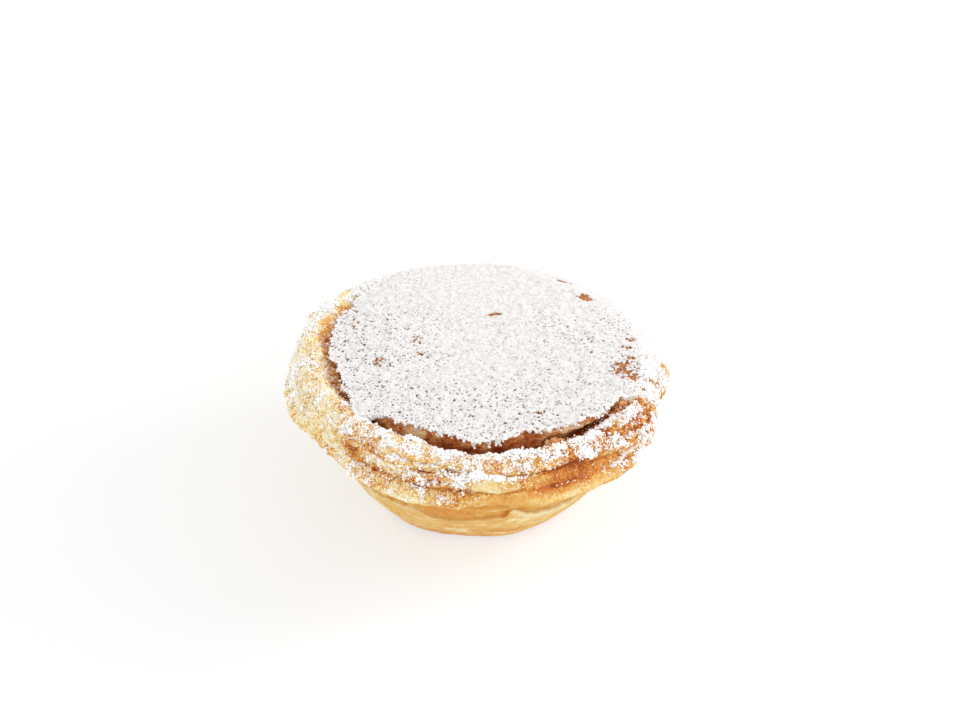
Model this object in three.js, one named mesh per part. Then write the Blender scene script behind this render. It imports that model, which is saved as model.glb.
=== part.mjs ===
// A bean tart: a puff pastry case with a flared, flaky rim, and a baked bean filling with a thin top crust.
// Millimetres, +Z up. The origin is the middle of the flat base, and the front of the tart faces -Y.
import * as THREE from "three";

const TURN = 2 * Math.PI;

// Driving sizes of the pastry case.
const BASE_RADIUS = 21.7;
const FLAT_RADIUS = 20.3;
const BASE_OVAL = 0.5;
const BASE_THICKNESS = 3.2;
const BODY_EDGE_RADIUS = 30.4;
const BODY_EDGE_HEIGHT = 12.6;
const BODY_BULGE = 0.7;
const UNDER_FLAKE_RADIUS = 32.2;
const UNDER_FLAKE_HEIGHT = 16.2;
const RIM_ROOT_RADIUS = 31.3;
const RIM_ROOT_HEIGHT = 17.5;
const CAVITY_FLOOR_RADIUS = 17;
const CAVITY_MOUTH_RADIUS = 28.6;
const CAVITY_MOUTH_HEIGHT = 25;

// Driving sizes of the filling.
const FIT_GAP = 0.35;
const CRUST_HEIGHT = 32;
const CRUST_THICKNESS = 0.9;
const CRUST_OVERHANG = 1;
const DOME_RISE = 0.7;
const CENTRE_SINK = 0.5;
const LUMP_HEIGHT = 0.12;

// Outlines seen from above: one radius every 30 degrees, from +X and anticlockwise, joined by a smooth curve.
const CRUST_OUTLINE = [29.6, 30.4, 30.4, 31.8, 32.6, 31.7, 30.4, 30.1, 29.0, 32.0, 29.9, 32.0];
const LIP_INSIDE = [32.2, 32.6, 33.0, 33.4, 34.2, 33.8, 32.5, 31.3, 31.2, 32.9, 33.8, 33.8];
const LIP_OUTSIDE = [36.4, 35.2, 35.7, 35.9, 36.6, 37.4, 36.9, 36.0, 36.9, 36.6, 37.1, 37.7];
const MIDDLE_FLAKE = [38.2, 36.6, 37.4, 37.5, 37.8, 38.6, 38.6, 36.8, 37.4, 38.2, 38.9, 39.2];
const LOWEST_FLAKE = [38.9, 37.4, 38.5, 38.5, 38.6, 39.2, 40.0, 38.6, 40.0, 39.1, 40.7, 39.7];
// How far the baked rim stands above or below its even height, at the same twelve places.
const RIM_LIFT = [0.2, -0.6, -1.2, -1.6, -1.2, 2.0, 0.8, 0.0, 0.1, 0.0, 0.0, 0.3];
// Local shifts of an outline, outwards or in: the angle and half width in degrees, and by how much.
const RIM_BREAKS = [
  { angle: 172, width: 14, by: -0.5 },
  { angle: 195, width: 9, by: 1.2 },
  { angle: 218, width: 15, by: -1.9 },
  { angle: 338, width: 8, by: -0.5 },
  { angle: 348, width: 6, by: -2.8 },
];
const MIDDLE_FLAKE_SHIFTS = [{ angle: 300, width: 12, by: -1.8 }];
const CRUST_SHIFTS = [
  { angle: 261, width: 5, by: -1.5 },
  { angle: 276, width: 4, by: -0.6 },
  { angle: 288, width: 5, by: -0.7 },
  { angle: 311, width: 9, by: 1 },
];
const BASE_SHIFTS = [
  { angle: 235, width: 20, by: 0.8 },
  { angle: 284, width: 12, by: 0.5 },
  { angle: 318, width: 12, by: -0.4 },
];

// How deep the groove over the lowest and over the middle flake is, at the same twelve places.
const LOW_GROOVE = [1.3, 1.1, 1.0, 0.9, 0.7, 0.5, 0.5, 0.9, 1.7, 1.7, 1.4, 1.4];
const HIGH_GROOVE = [1.2, 1.0, 0.9, 0.8, 0.6, 0.5, 0.5, 0.8, 1.3, 1.6, 1.7, 1.4];
// How deep the open gap between the lip and the crust is, at the same twelve places.
const GAP_DEPTH = [0.9, 0.9, 0.9, 0.9, 1.1, 1.5, 1.8, 2.6, 5.1, 5.4, 4.5, 2.0];

// The three thick flakes of the rim, from the lowest up: between which heights the edge lies, its outline, how far
// the edge wanders, and the groove over it. The uppermost is the lip.
const RIM_FLAKES = [
  { low: 22.1, high: 24.5, outline: LOWEST_FLAKE, shifts: [], wander: 0.45, groove: LOW_GROOVE },
  { low: 25.3, high: 27.9, outline: MIDDLE_FLAKE, shifts: MIDDLE_FLAKE_SHIFTS, wander: 0.5, groove: HIGH_GROOVE },
  { low: 28.6, high: 30.4, outline: LIP_OUTSIDE, shifts: [], wander: 0.35 },
];
const LIP_HEIGHT = 31;
const LIP_ROUNDING = 0.8;
const LEDGE_RADIUS = 28.9;
const LEDGE_LIMIT = 30.1;

// Mesh fineness.
const CASE_STEPS = 132;
const FILLING_STEPS = 90;
const TOP_RINGS = 10;

// A repeatable number from 0 to 1 for each seed.
function chance(seed) {
  const value = Math.sin(seed * 12.9898 + 78.233) * 43758.5453;
  return value - Math.floor(value);
}

// A smooth wave round the tart, mostly within -1 to 1, with a whole number of turns from slowest to fastest.
function ripple(angle, seed, slowest, fastest) {
  let sum = 0;
  for (let turns = slowest; turns <= fastest; turns++) {
    sum += Math.cos(turns * angle + TURN * chance(seed + turns));
  }
  return sum / Math.sqrt(fastest - slowest + 1);
}

// The value at an angle of a closed outline given by evenly spaced values, on a Catmull-Rom curve.
function outlineAt(values, angle) {
  const count = values.length;
  const place = ((angle / TURN) % 1) * count;
  const first = Math.floor(place);
  const share = place - first;
  const [a, b, c, d] = [-1, 0, 1, 2].map((step) => values[(first + step + count) % count]);
  const slopeIn = (c - a) / 2;
  const slopeOut = (d - b) / 2;
  return (
    b +
    slopeIn * share +
    (3 * (c - b) - 2 * slopeIn - slopeOut) * share ** 2 +
    (2 * (b - c) + slopeIn + slopeOut) * share ** 3
  );
}

function between(from, to, share) {
  return from + (to - from) * share;
}

// The sum of all the local shifts at an angle.
function shiftAt(spots, angle) {
  const degrees = (angle * 360) / TURN;
  return spots.reduce((sum, spot) => sum + spot.by * Math.exp(-(((degrees - spot.angle) / spot.width) ** 2)), 0);
}

// How far the base stands out from an even circle: it is a little broader from left to right, and uneven in front.
function baseShift(angle) {
  return BASE_OVAL * Math.cos(2 * angle) + shiftAt(BASE_SHIFTS, angle);
}

// The smooth wall of the body, which took the shape of its tin: points [radius, height] from the base up.
function bodyWall(angle) {
  const points = [[BASE_RADIUS - 0.1 + baseShift(angle), 0.6]];
  for (const share of [0.2, 0.42, 0.65, 0.86]) {
    const shift = baseShift(angle) * (1 - share ** 2);
    const bulge = shift + BODY_BULGE * Math.sin(Math.PI * share) + 0.15 * ripple(angle, 40 + 9 * share, 2, 7);
    points.push([
      between(BASE_RADIUS, BODY_EDGE_RADIUS - 0.7, share) + bulge,
      between(0.6, BODY_EDGE_HEIGHT - 0.9, share),
    ]);
  }
  return points;
}

// The body's ragged upper edge and the flake that shows in the recess over it.
function bodyFlakes(angle) {
  const edge = BODY_EDGE_RADIUS + 0.35 * ripple(angle, 3, 2, 11);
  const edgeHeight = BODY_EDGE_HEIGHT + 0.5 * ripple(angle, 8, 2, 9);
  const under = UNDER_FLAKE_RADIUS + 0.5 * ripple(angle, 13, 2, 9);
  const underHeight = UNDER_FLAKE_HEIGHT + 0.3 * ripple(angle, 17, 2, 6);
  return [
    [edge, edgeHeight],
    [edge - 1.1, edgeHeight + 0.5],
    [edge - 0.7, underHeight - 1.4],
    [under - 0.3, underHeight - 0.6],
    [under, underHeight],
    [RIM_ROOT_RADIUS - 0.1, underHeight + 1],
  ];
}

// The edge of one rim flake at an angle: its radius and heights. The upper flakes follow the breaks less.
function flakeEdge(flake, index, angle) {
  const breaks = shiftAt(RIM_BREAKS, angle) * (1 - index / RIM_FLAKES.length);
  const radius = outlineAt(flake.outline, angle) + shiftAt(flake.shifts, angle) + breaks;
  const lift = outlineAt(RIM_LIFT, angle) + 0.22 * ripple(angle, 200 + 17 * index, 2, 8);
  return {
    radius: radius + flake.wander * ripple(angle, 100 + 31 * index, 3, 14),
    low: flake.low + lift,
    high: flake.high + lift,
  };
}

// The flared rim: its sloping underside, then each flake's rounded edge with a groove over it.
function rimStack(angle) {
  const edges = RIM_FLAKES.map((flake, index) => flakeEdge(flake, index, angle));
  const lowest = edges[0];
  const points = [];
  for (const share of [0.3, 0.65]) {
    points.push([
      between(RIM_ROOT_RADIUS, lowest.radius, share),
      between(RIM_ROOT_HEIGHT + 0.4, lowest.low, share),
    ]);
  }
  RIM_FLAKES.forEach((flake, index) => {
    const { radius, low, high } = edges[index];
    points.push([radius - 0.5, low], [radius, between(low, high, 0.4)]);
    if (index + 1 < RIM_FLAKES.length) {
      const above = edges[index + 1];
      const depth = outlineAt(flake.groove, angle) * (1 + 0.3 * ripple(angle, 300 + 13 * index, 1, 6));
      points.push(
        [between(radius, Math.min(radius, above.radius + 0.6), 0.5) - 0.3, high],
        [Math.min(radius, above.radius) - Math.max(0.5, depth), between(high, above.low, 0.6)],
      );
    }
  });
  return points;
}

function lipTop(angle) {
  return LIP_HEIGHT + 0.75 * outlineAt(RIM_LIFT, angle) + 0.25 * ripple(angle, 61, 2, 9);
}

// The height of the gap's floor, where the case meets the filling.
function ledgeHeight(angle) {
  return Math.min(lipTop(angle) - outlineAt(GAP_DEPTH, angle), LEDGE_LIMIT);
}

// The rounded top of the lip and the inner wall, which the filling lies against.
function lipAndCavity(angle) {
  const top = lipTop(angle);
  const ledge = ledgeHeight(angle);
  const shoulder = Math.min(LIP_ROUNDING, (top - ledge) * 0.4);
  const inside = outlineAt(LIP_INSIDE, angle) + 0.2 * ripple(angle, 67, 3, 12);
  const outside = outlineAt(LIP_OUTSIDE, angle);
  return [
    [between(inside, outside, 0.62), top - LIP_ROUNDING * 0.35],
    [between(inside, outside, 0.3), top],
    [inside, top - shoulder],
    [between(LEDGE_RADIUS, inside, 0.5), between(ledge, top - shoulder, 0.3)],
    [LEDGE_RADIUS, ledge],
    [CAVITY_MOUTH_RADIUS, CAVITY_MOUTH_HEIGHT],
    ...cavityWall(0).reverse(),
  ];
}

// The wall of the cavity below its mouth, from the floor up, drawn in by a gap for the filling.
function cavityWall(gap) {
  const floor = BASE_THICKNESS + gap;
  return [
    [CAVITY_FLOOR_RADIUS - gap, floor],
    [CAVITY_FLOOR_RADIUS + 1.6 - gap, floor + 1.4],
    [between(CAVITY_FLOOR_RADIUS, CAVITY_MOUTH_RADIUS, 0.42) - gap, between(floor, CAVITY_MOUTH_HEIGHT, 0.32)],
    [between(CAVITY_FLOOR_RADIUS, CAVITY_MOUTH_RADIUS, 0.75) - gap, between(floor, CAVITY_MOUTH_HEIGHT, 0.66)],
  ];
}

// The whole case at an angle, from the rim of the flat base round to the cavity's floor.
function caseOutline(angle) {
  return [
    [FLAT_RADIUS + baseShift(angle), 0],
    ...bodyWall(angle),
    ...bodyFlakes(angle),
    ...rimStack(angle),
    ...lipAndCavity(angle),
  ];
}

// The height of the filling's top at a share of the way from its middle to its edge.
function topHeight(share, angle, seed) {
  const dome = DOME_RISE * (1 - share ** 2) - CENTRE_SINK * Math.exp(-((share / 0.45) ** 2));
  const swell = 0.28 * share * ripple(angle, 71, 1, 4) * Math.sin(Math.PI * share);
  const lump = LUMP_HEIGHT * share * (2 * chance(seed) - 1);
  return CRUST_HEIGHT + dome + swell + lump;
}

// The filling at an angle: its buried wall, the bare side that shows over the lip, and the crust with its sharp
// overhanging edge.
function fillingOutline(angle, step) {
  const crust = outlineAt(CRUST_OUTLINE, angle) + shiftAt(CRUST_SHIFTS, angle) + 0.25 * ripple(angle, 83, 4, 16);
  const side = crust - CRUST_OVERHANG;
  const mouth = CAVITY_MOUTH_RADIUS - FIT_GAP;
  const foot = LEDGE_RADIUS - 1.4 * FIT_GAP;
  const footHeight = ledgeHeight(angle) + 0.3;
  const under = CRUST_HEIGHT - CRUST_THICKNESS - 0.15;
  const points = [
    ...cavityWall(FIT_GAP),
    [mouth, CAVITY_MOUTH_HEIGHT],
    [foot, footHeight],
    [between(foot, side, 0.5), between(footHeight, under, 0.5)],
    [side + 0.2 * ripple(angle, 91, 5, 14), between(footHeight, under, 0.8)],
    [side, under],
    [crust - 0.25, CRUST_HEIGHT - CRUST_THICKNESS * 0.75],
    [crust, CRUST_HEIGHT - CRUST_THICKNESS * 0.4],
    [crust - 0.3, CRUST_HEIGHT - 0.05],
  ];
  for (let ring = 1; ring < TOP_RINGS; ring++) {
    const share = 1 - ring / TOP_RINGS;
    points.push([share * (crust - 0.3), topHeight(share, angle, 1000 + 97 * ring + step)]);
  }
  return points;
}

// One closed solid from an outline that changes with the angle. The outline starts at the lower end of the skin
// and ends at its upper end, and both ends are closed by a fan to the axis.
function turnedSolid(outline, steps) {
  const rings = [];
  for (let step = 0; step < steps; step++) {
    rings.push(outline((TURN * step) / steps, step));
  }
  const rows = rings[0].length;
  const places = [];
  for (const [step, ring] of rings.entries()) {
    const angle = (TURN * step) / steps;
    for (const [radius, height] of ring) {
      places.push(radius * Math.cos(angle), radius * Math.sin(angle), height);
    }
  }
  const meanHeight = (row) => rings.reduce((sum, ring) => sum + ring[row][1], 0) / steps;
  const lowMiddle = steps * rows;
  const highMiddle = lowMiddle + 1;
  places.push(0, 0, meanHeight(0), 0, 0, meanHeight(rows - 1));

  const faces = [];
  for (let step = 0; step < steps; step++) {
    const here = step * rows;
    const next = ((step + 1) % steps) * rows;
    faces.push(lowMiddle, next, here, highMiddle, here + rows - 1, next + rows - 1);
    for (let row = 0; row + 1 < rows; row++) {
      faces.push(here + row, next + row, next + row + 1, here + row, next + row + 1, here + row + 1);
    }
  }
  const geometry = new THREE.BufferGeometry();
  geometry.setAttribute("position", new THREE.Float32BufferAttribute(places, 3));
  geometry.setIndex(faces);
  geometry.computeVertexNormals();
  return geometry;
}

function namedMesh(name, geometry, color, roughness) {
  const material = new THREE.MeshStandardMaterial({ color, roughness, metalness: 0 });
  const mesh = new THREE.Mesh(geometry, material);
  mesh.name = name;
  return mesh;
}

const tart = new THREE.Group();
tart.add(
  namedMesh("pastry_case", turnedSolid(caseOutline, CASE_STEPS), 0xdcab66, 0.75),
  namedMesh("bean_filling", turnedSolid(fillingOutline, FILLING_STEPS), 0xf2ece6, 0.9),
);

export default tart;
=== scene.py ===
"""A bean tart in puff pastry, dusted with icing sugar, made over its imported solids.

Sizes and places are in millimetres until a mesh is written, with +Z up and the front of the tart facing -Y.
"""
import math

import bpy
import numpy as np
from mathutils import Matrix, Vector


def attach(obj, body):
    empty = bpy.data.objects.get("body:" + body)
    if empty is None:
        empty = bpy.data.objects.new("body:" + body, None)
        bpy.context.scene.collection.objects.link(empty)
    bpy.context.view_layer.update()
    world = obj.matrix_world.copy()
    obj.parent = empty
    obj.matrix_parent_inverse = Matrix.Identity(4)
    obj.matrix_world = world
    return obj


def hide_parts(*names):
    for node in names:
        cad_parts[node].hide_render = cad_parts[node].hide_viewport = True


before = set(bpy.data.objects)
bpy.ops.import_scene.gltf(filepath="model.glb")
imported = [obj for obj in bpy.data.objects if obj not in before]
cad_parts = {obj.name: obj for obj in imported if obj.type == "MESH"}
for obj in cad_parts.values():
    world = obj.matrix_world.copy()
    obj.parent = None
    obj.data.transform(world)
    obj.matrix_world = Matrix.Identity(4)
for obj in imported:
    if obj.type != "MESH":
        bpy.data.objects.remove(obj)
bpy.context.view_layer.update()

TURN = 2 * math.pi
MM = 0.001

# Driving sizes of the pastry case, as in the solids.
BASE_RADIUS = 21.7
FLAT_RADIUS = 20.3
BASE_OVAL = 0.5
BODY_EDGE_RADIUS = 30.4
BODY_EDGE_HEIGHT = 12.6
BODY_BULGE = 0.7
UNDER_FLAKE_RADIUS = 32.2
UNDER_FLAKE_HEIGHT = 16.2
RIM_ROOT_RADIUS = 31.3
RIM_ROOT_HEIGHT = 17.5
CAVITY_FLOOR_RADIUS = 17
CAVITY_FLOOR_HEIGHT = 3.2
CAVITY_MOUTH_RADIUS = 28.6
CAVITY_MOUTH_HEIGHT = 25
LIP_HEIGHT = 31
LIP_ROUNDING = 0.8
LEDGE_RADIUS = 28.9
LEDGE_LIMIT = 30.1

# Driving sizes of the filling, as in the solids.
FIT_GAP = 0.35
CRUST_HEIGHT = 32
CRUST_THICKNESS = 0.9
CRUST_OVERHANG = 1
DOME_RISE = 0.7
CENTRE_SINK = 0.5

# Outlines seen from above: a radius every 30 degrees, from +X and anticlockwise, joined by a smooth curve.
CRUST_OUTLINE = [29.6, 30.4, 30.4, 31.8, 32.6, 31.7, 30.4, 30.1, 29.0, 32.0, 29.9, 32.0]
LIP_INSIDE = [32.2, 32.6, 33.0, 33.4, 34.2, 33.8, 32.5, 31.3, 31.2, 32.9, 33.8, 33.8]
LIP_OUTSIDE = [36.4, 35.2, 35.7, 35.9, 36.6, 37.4, 36.9, 36.0, 36.9, 36.6, 37.1, 37.7]
MIDDLE_FLAKE = [38.2, 36.6, 37.4, 37.5, 37.8, 38.6, 38.6, 36.8, 37.4, 38.2, 38.9, 39.2]
LOWEST_FLAKE = [38.9, 37.4, 38.5, 38.5, 38.6, 39.2, 40.0, 38.6, 40.0, 39.1, 40.7, 39.7]
# At the same places: the rim's rise above its even height, and the depth of the grooves and of the gap.
RIM_LIFT = [0.2, -0.6, -1.2, -1.6, -1.2, 2.0, 0.8, 0.0, 0.1, 0.0, 0.0, 0.3]
LOW_GROOVE = [1.3, 1.1, 1.0, 0.9, 0.7, 0.5, 0.5, 0.9, 1.7, 1.7, 1.4, 1.4]
HIGH_GROOVE = [1.2, 1.0, 0.9, 0.8, 0.6, 0.5, 0.5, 0.8, 1.3, 1.6, 1.7, 1.4]
GAP_DEPTH = [0.9, 0.9, 0.9, 0.9, 1.1, 1.5, 1.8, 2.6, 5.1, 5.4, 4.5, 2.0]
# Local shifts of an outline, outwards or in: angle and half width in degrees, and by how many millimetres.
RIM_BREAKS = [(172, 14, -0.5), (195, 9, 1.2), (218, 15, -1.9), (338, 8, -0.5), (348, 6, -2.8)]
MIDDLE_FLAKE_SHIFTS = [(300, 12, -1.8)]
CRUST_SHIFTS = [
    (261, 5, -1.5), (276, 4, -1), (265, 16, -1.1), (253, 5, -0.3), (289, 6, -1.4), (247, 9, -1.3),
    (311, 9, 1), (321, 5, 0.7), (197, 13, -0.9), (190, 4, -0.6), (151, 5, -1.4),
]
LIP_SHIFTS = [(244, 5, -1), (255, 8, -0.7), (285, 5, -0.8), (152, 6, -1.2), (319, 6, -0.45), (182, 5, -0.9)]
BASE_SHIFTS = [(235, 20, 0.8), (284, 12, 0.5), (318, 12, -0.4)]
# Places along the case's outline, in rows counted from the flat base up and in.
LOW_GROOVE_ROW = 17
HIGH_GROOVE_ROW = 21
FIRST_SEEN_ROW = 0.5
LAST_SEEN_ROW = 28.3
BODY_START_ROW = 2
RIM_START_ROW = 14
RIM_END_ROW = 27.8
# The rows at which the outline has a corner.
CASE_CREASES = {0, 6, 7, 8, 11, 12, 14, 17, 18, 21, 22, 28, 29, 30, 31, 32, 33}
FILLING_CREASES = {0, 1, 2, 3, 4, 5, 6, 7, 8, 23}

# Every 30 degrees again, from 0 to 1: how brown the pastry is, how much sugar lies on it, how much of it is
# in heaps, how rough the surface is, and how far the low and the high groove are baked shut.
BROWN_RIM = [0.52, 0.48, 0.42, 0.34, 0.24, 0.12, 0.08, 0.15, 0.36, 0.44, 0.54, 0.56]
BROWN_BODY = [0.38, 0.34, 0.34, 0.34, 0.3, 0.26, 0.26, 0.3, 0.42, 0.46, 0.38, 0.42]
SUGAR_LIP = [0.9, 0.95, 0.95, 0.95, 0.95, 0.62, 0.4, 0.42, 0.5, 0.48, 0.5, 0.56]
SUGAR_FLAKES = [0.58, 0.5, 0.5, 0.6, 0.7, 0.48, 0.36, 0.32, 0.4, 0.34, 0.2, 0.56]
HEAPED = [0.6, 0.4, 0.2, 0.15, 0.15, 0.45, 0.75, 0.9, 1, 1, 1, 0.6]
ROUGHNESS = [0.6, 0.5, 0.5, 0.4, 0.35, 0.65, 1.0, 1.0, 0.95, 0.85, 0.75, 0.8]
LOW_FILLED = [0, 0, 0, 0.2, 0.7, 1, 1, 0.95, 0.5, 0.25, 0.8, 0.2]
HIGH_FILLED = [0, 0, 0, 0.2, 0.7, 1, 1, 1, 0.95, 0.9, 0.95, 0.2]

RIM_FLAKES = [
    {"low": 22.1, "high": 24.5, "outline": LOWEST_FLAKE, "shifts": [], "wander": 0.45, "groove": LOW_GROOVE,
     "filled": LOW_FILLED},
    {"low": 25.3, "high": 27.9, "outline": MIDDLE_FLAKE, "shifts": MIDDLE_FLAKE_SHIFTS, "wander": 0.5,
     "groove": HIGH_GROOVE, "filled": HIGH_FILLED},
    {"low": 28.6, "high": 30.4, "outline": LIP_OUTSIDE, "shifts": [], "wander": 0.35},
]

# Places where the pastry is browner or paler, holds more or less sugar, stands out or in, or is smoother:
# the middle in degrees and rows, how far they reach each way, and by how much, the push in millimetres.
SPOT_COLUMNS = ("angle", "row", "wide", "tall", "brown", "sugar", "push", "smooth")
PASTRY_SPOTS = [dict(zip(SPOT_COLUMNS, numbers)) for numbers in [
    (240, 17, 9, 0.9, 0.18, -0.2),
    (231, 17.4, 6, 1.2, 0.24, -0.2, -0.2),
    (224, 18.9, 5, 1.2, 0.32, -0.2, -0.4),
    (238, 15.6, 4, 1.2, 0.14, -0.1),
    (239, 19.2, 8, 1.1, -0.25, 0.45),
    (238, 21.3, 6, 0.8, 0.25, -0.2),
    (256, 18.2, 6, 0.8, 0, -0.4),
    (226, 21, 7, 0.8, 0.05, 0, 0.5),
    (226, 20.2, 6, 1.8, 0.28, -0.3),
    (234, 22.6, 4, 1.2, 0.25, -0.3),
    (229, 22.9, 6, 1.1, 0.14, -0.1),
    (211, 25, 5, 1.3, 0.14, -0.15),
    (137, 24.4, 5, 1.5, -0.1, 0.5),
    (276, 24.5, 6, 1.2, 0, -0.1),
    (298, 23, 5, 1.2, 0.08, -0.05),
    (294, 20.4, 6, 1, 0.4, -0.25),
    (291, 18.6, 5, 1.2, -0.12),
    (280, 2, 16, 1.8, 0.1),
    (272, 9.5, 8, 1.6, -0.12),
    (228, 25, 7, 1.2, 0.1, -0.2),
    (245, 20.2, 4, 1.1, 0, 0.35),
    (255, 24.7, 11, 1, 0, 0.3),
    (282, 23.3, 11, 1.5, 0, -0.2),
    (312, 19.4, 6, 1.6, -0.22),
    (253, 20.6, 3.5, 0.7, 0.45, -0.7, -0.7),
    (257, 19.4, 3.5, 0.5, 0.35, -0.3, -0.5),
    (261, 21.6, 3, 0.6, 0.45, -0.6, -0.6),
    (243, 22.6, 10, 0.6, -0.1, -0.4),
    (249, 15, 7, 1.3, -0.3, -0.05, 0.15),
    (260, 16, 7, 1.8, 0.1, -0.08),
    (279, 15.2, 12, 1.8, 0.02, -0.8, 0, 0.8),
    (256, 19, 9, 1.2, 0.1, 0.15),
    (273, 19, 6, 1.5, -0.26, -0.3, 0.25, 0.7),
    (270, 20.8, 5, 0.8, -0.2, 0.75, 0.3),
    (300, 18.6, 12, 1.5, 0.15, -0.5, -0.3, 0.5),
    (304, 21, 9, 1.4, 0.3),
    (300, 15.2, 16, 0.7, -0.2, -0.1, 0.2),
    (300, 16.7, 13, 1, 0.2, -0.3, -0.15, 0.6),
    (303, 14.8, 18, 1.1, 0, -0.3, 0, 0.7),
    (287, 21.2, 6, 0.5, 0.5, -0.3, -0.5),
    (296, 20.9, 5, 0.5, 0.3, -0.2, -0.25),
    (281, 20.2, 4, 0.6, 0.1, 0.2, 0.2),
    (306, 22.6, 9, 0.9, 0.16, -0.1),
    (312, 25.6, 8, 1.1, 0, 0.45),
    (291.5, 25.8, 4.2, 1.3, 0.12, -0.8, 0.25),
    (330, 25.8, 3, 0.9, 0.3, -1.2),
    (314, 24.5, 4, 1, 0.1, -0.3, -0.2),
    (312, 22, 9, 0.9, 0, 0.45, 0.2),
    (323, 16.5, 5, 1.8, -0.3, 0.6),
    (144, 24.8, 6, 0.3, 0.1, -1.3, 0.3),
    (328.5, 24.3, 2.5, 0.7, 0, 0.9, 0.5),
    (333.5, 24.2, 1.8, 1, 0.25, -0.8),
    (326, 19.6, 4, 1.2, 0, 0.35),
    (320, 23.2, 4, 0.7, 0, 0.8, 0.3),
    (161, 25.6, 4, 1, 0.34, -0.6, 0, 0.5),
    (152, 26.2, 4.2, 1, 0.5, -1),
    (186, 26.9, 26, 1.1, 0.3, -0.3),
    (170, 26, 5, 1, 0.4, -0.5),
    (183, 24.6, 14, 1.2, 0.16, -0.1),
    (205, 26.6, 5, 1, 0.3, -0.4),
    (217, 24.6, 4, 1.3, 0.2, -0.25),
    (200, 15, 20, 0.8, 0.15, -0.2),
    # The next two darken the body's recess under the rim: painted shade.
    (255, 10, 22, 1.3, 0.06),
    (294, 9.3, 13, 1.6, 0.12, 0, -0.3),
    (294, 5.6, 12, 1.2, -0.16, 0, 0.15),
    (286, 2.4, 6, 0.35, -0.2, 0, 0.15),
    (282, 6.6, 3, 0.8, 0.2, 0, -0.2),
]]

# Curved grooves between thin layers that curl at the right of the rim: how wide each is in millimetres,
# and its way in degrees and rows.
SWIRLS = [
    (0.6, [(331, 26.3), (330, 24.5), (334, 23.6), (339, 19.7)]),
    (0.7, [(325, 23.4), (330, 23.1), (337, 20.2)]),
    (0.8, [(314, 23.9), (318, 23.3), (325, 20.5), (330, 20.0), (335, 19.8)]),
    (0.6, [(318, 20.2), (322, 19.5), (330, 18.8)]),
    (0.6, [(306, 19.3), (313, 18.8), (317, 18.0)]),
    (0.6, [(317, 16.0), (324, 16.2)]),
    (1.1, [(312, 25.5), (318, 24.2)]),
    (0.6, [(320, 23.4), (329, 23.0)]),
    (0.5, [(343, 26.3), (343, 25.5), (345, 25.0)]),
    (0.5, [(340, 25.5), (338, 24.2), (340, 24.0)]),
    (0.7, [(344, 24.0), (347, 21.8), (350, 19.8)]),
    (0.8, [(355, 18.8), (356, 17.0), (353, 15.4)]),
    (0.4, [(334, 25.0), (333, 24.0)]),
]

# Places on the bare side of the filling with painted light and shade: angle, half width, and by how much.
FILLING_LIGHT_AND_SHADE = [
    (228, 6, -0.1), (243, 7, 0.42), (249, 1.2, -0.4), (261, 8, -0.22), (273, 2.5, 0.16), (279, 3, -0.15),
    (297, 4, 0.12), (306, 4, 0.55), (318, 6, 0.3),
]

# Mesh fineness. The spacings are the rows up to which they hold and the millimetres between rings.
CASE_STEPS = 760
FILLING_STEPS = 560
BLANKET_CELLS = 296
CASE_SPACING = [(5, 0.62), (12, 0.42), (14, 0.8), (26, 0.3), (28, 0.45), (34, 5)]
FILLING_SPACING = [(4, 6), (9, 0.3), (12, 0.35), (30, 1.6)]
CRUST_RINGS = 12
LEAF_RINGS = 6
LEAF_STEP = 0.3
RIM_RADIUS = 38


def chance(seed):
    """A repeatable number from 0 to 1 for each seed."""
    value = math.sin(seed * 12.9898 + 78.233) * 43758.5453
    return value - math.floor(value)


def ripple(angle, seed, slowest, fastest):
    """A smooth wave round the tart with a whole number of turns, mostly within -1 to 1."""
    total = sum(np.cos(turns * angle + TURN * chance(seed + turns)) for turns in range(slowest, fastest + 1))
    return total / math.sqrt(fastest - slowest + 1)


def outline_at(values, angle):
    """The value at each angle of a closed outline given by evenly spaced values, on a Catmull-Rom curve."""
    values = np.asarray(values, float)
    place = np.mod(angle / TURN, 1) * len(values)
    first = np.floor(place).astype(int)
    share = place - first
    a, b, c, d = (values[(first + step) % len(values)] for step in (-1, 0, 1, 2))
    slope_in = (c - a) / 2
    slope_out = (d - b) / 2
    return (
        b
        + slope_in * share
        + (3 * (c - b) - 2 * slope_in - slope_out) * share**2
        + (2 * (b - c) + slope_in + slope_out) * share**3
    )


def on_ring(radius, angle, height):
    """Points at a distance from the middle, an angle and a height."""
    return np.stack([radius * np.cos(angle), radius * np.sin(angle), height], axis=-1)


def between(start, end, share):
    return start + (end - start) * share


def bell(value, middle, wide, power=2):
    """1 in the middle, falling off smoothly to both sides. A higher power makes the top flatter."""
    return np.exp(-(((value - middle) / wide) ** power))


def fade(value, low, high):
    """0 up to the low limit, 1 from the high one on, and smooth between them."""
    share = np.clip((value - low) / (high - low), 0, 1)
    return share * share * (3 - 2 * share)


def lattice_value(ix, iy, iz, seed):
    """A repeatable number from 0 to 1 for each corner of a cubic lattice."""
    mask = 0xFFFFFFFF
    mixed = (ix * 374761393 + iy * 668265263 + iz * 1442695041 + seed * 1274126177) & mask
    mixed = ((mixed ^ (mixed >> 13)) * 1274126177) & mask
    return (mixed ^ (mixed >> 16)) / mask


def noise(points, size, seed):
    """Smooth noise from -1 to 1 with bumps of about this size. size is one number or one for each axis."""
    place = points / np.asarray(size, float)
    first = np.floor(place).astype(np.int64)
    share = place - first
    share = share * share * (3 - 2 * share)
    total = 0
    for corner in range(8):
        step = np.array([corner & 1, corner >> 1 & 1, corner >> 2 & 1])
        weight = np.prod(np.where(step, share, 1 - share), axis=-1)
        total = total + weight * lattice_value(*np.moveaxis(first + step, -1, 0), seed)
    return 2 * total - 1


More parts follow.
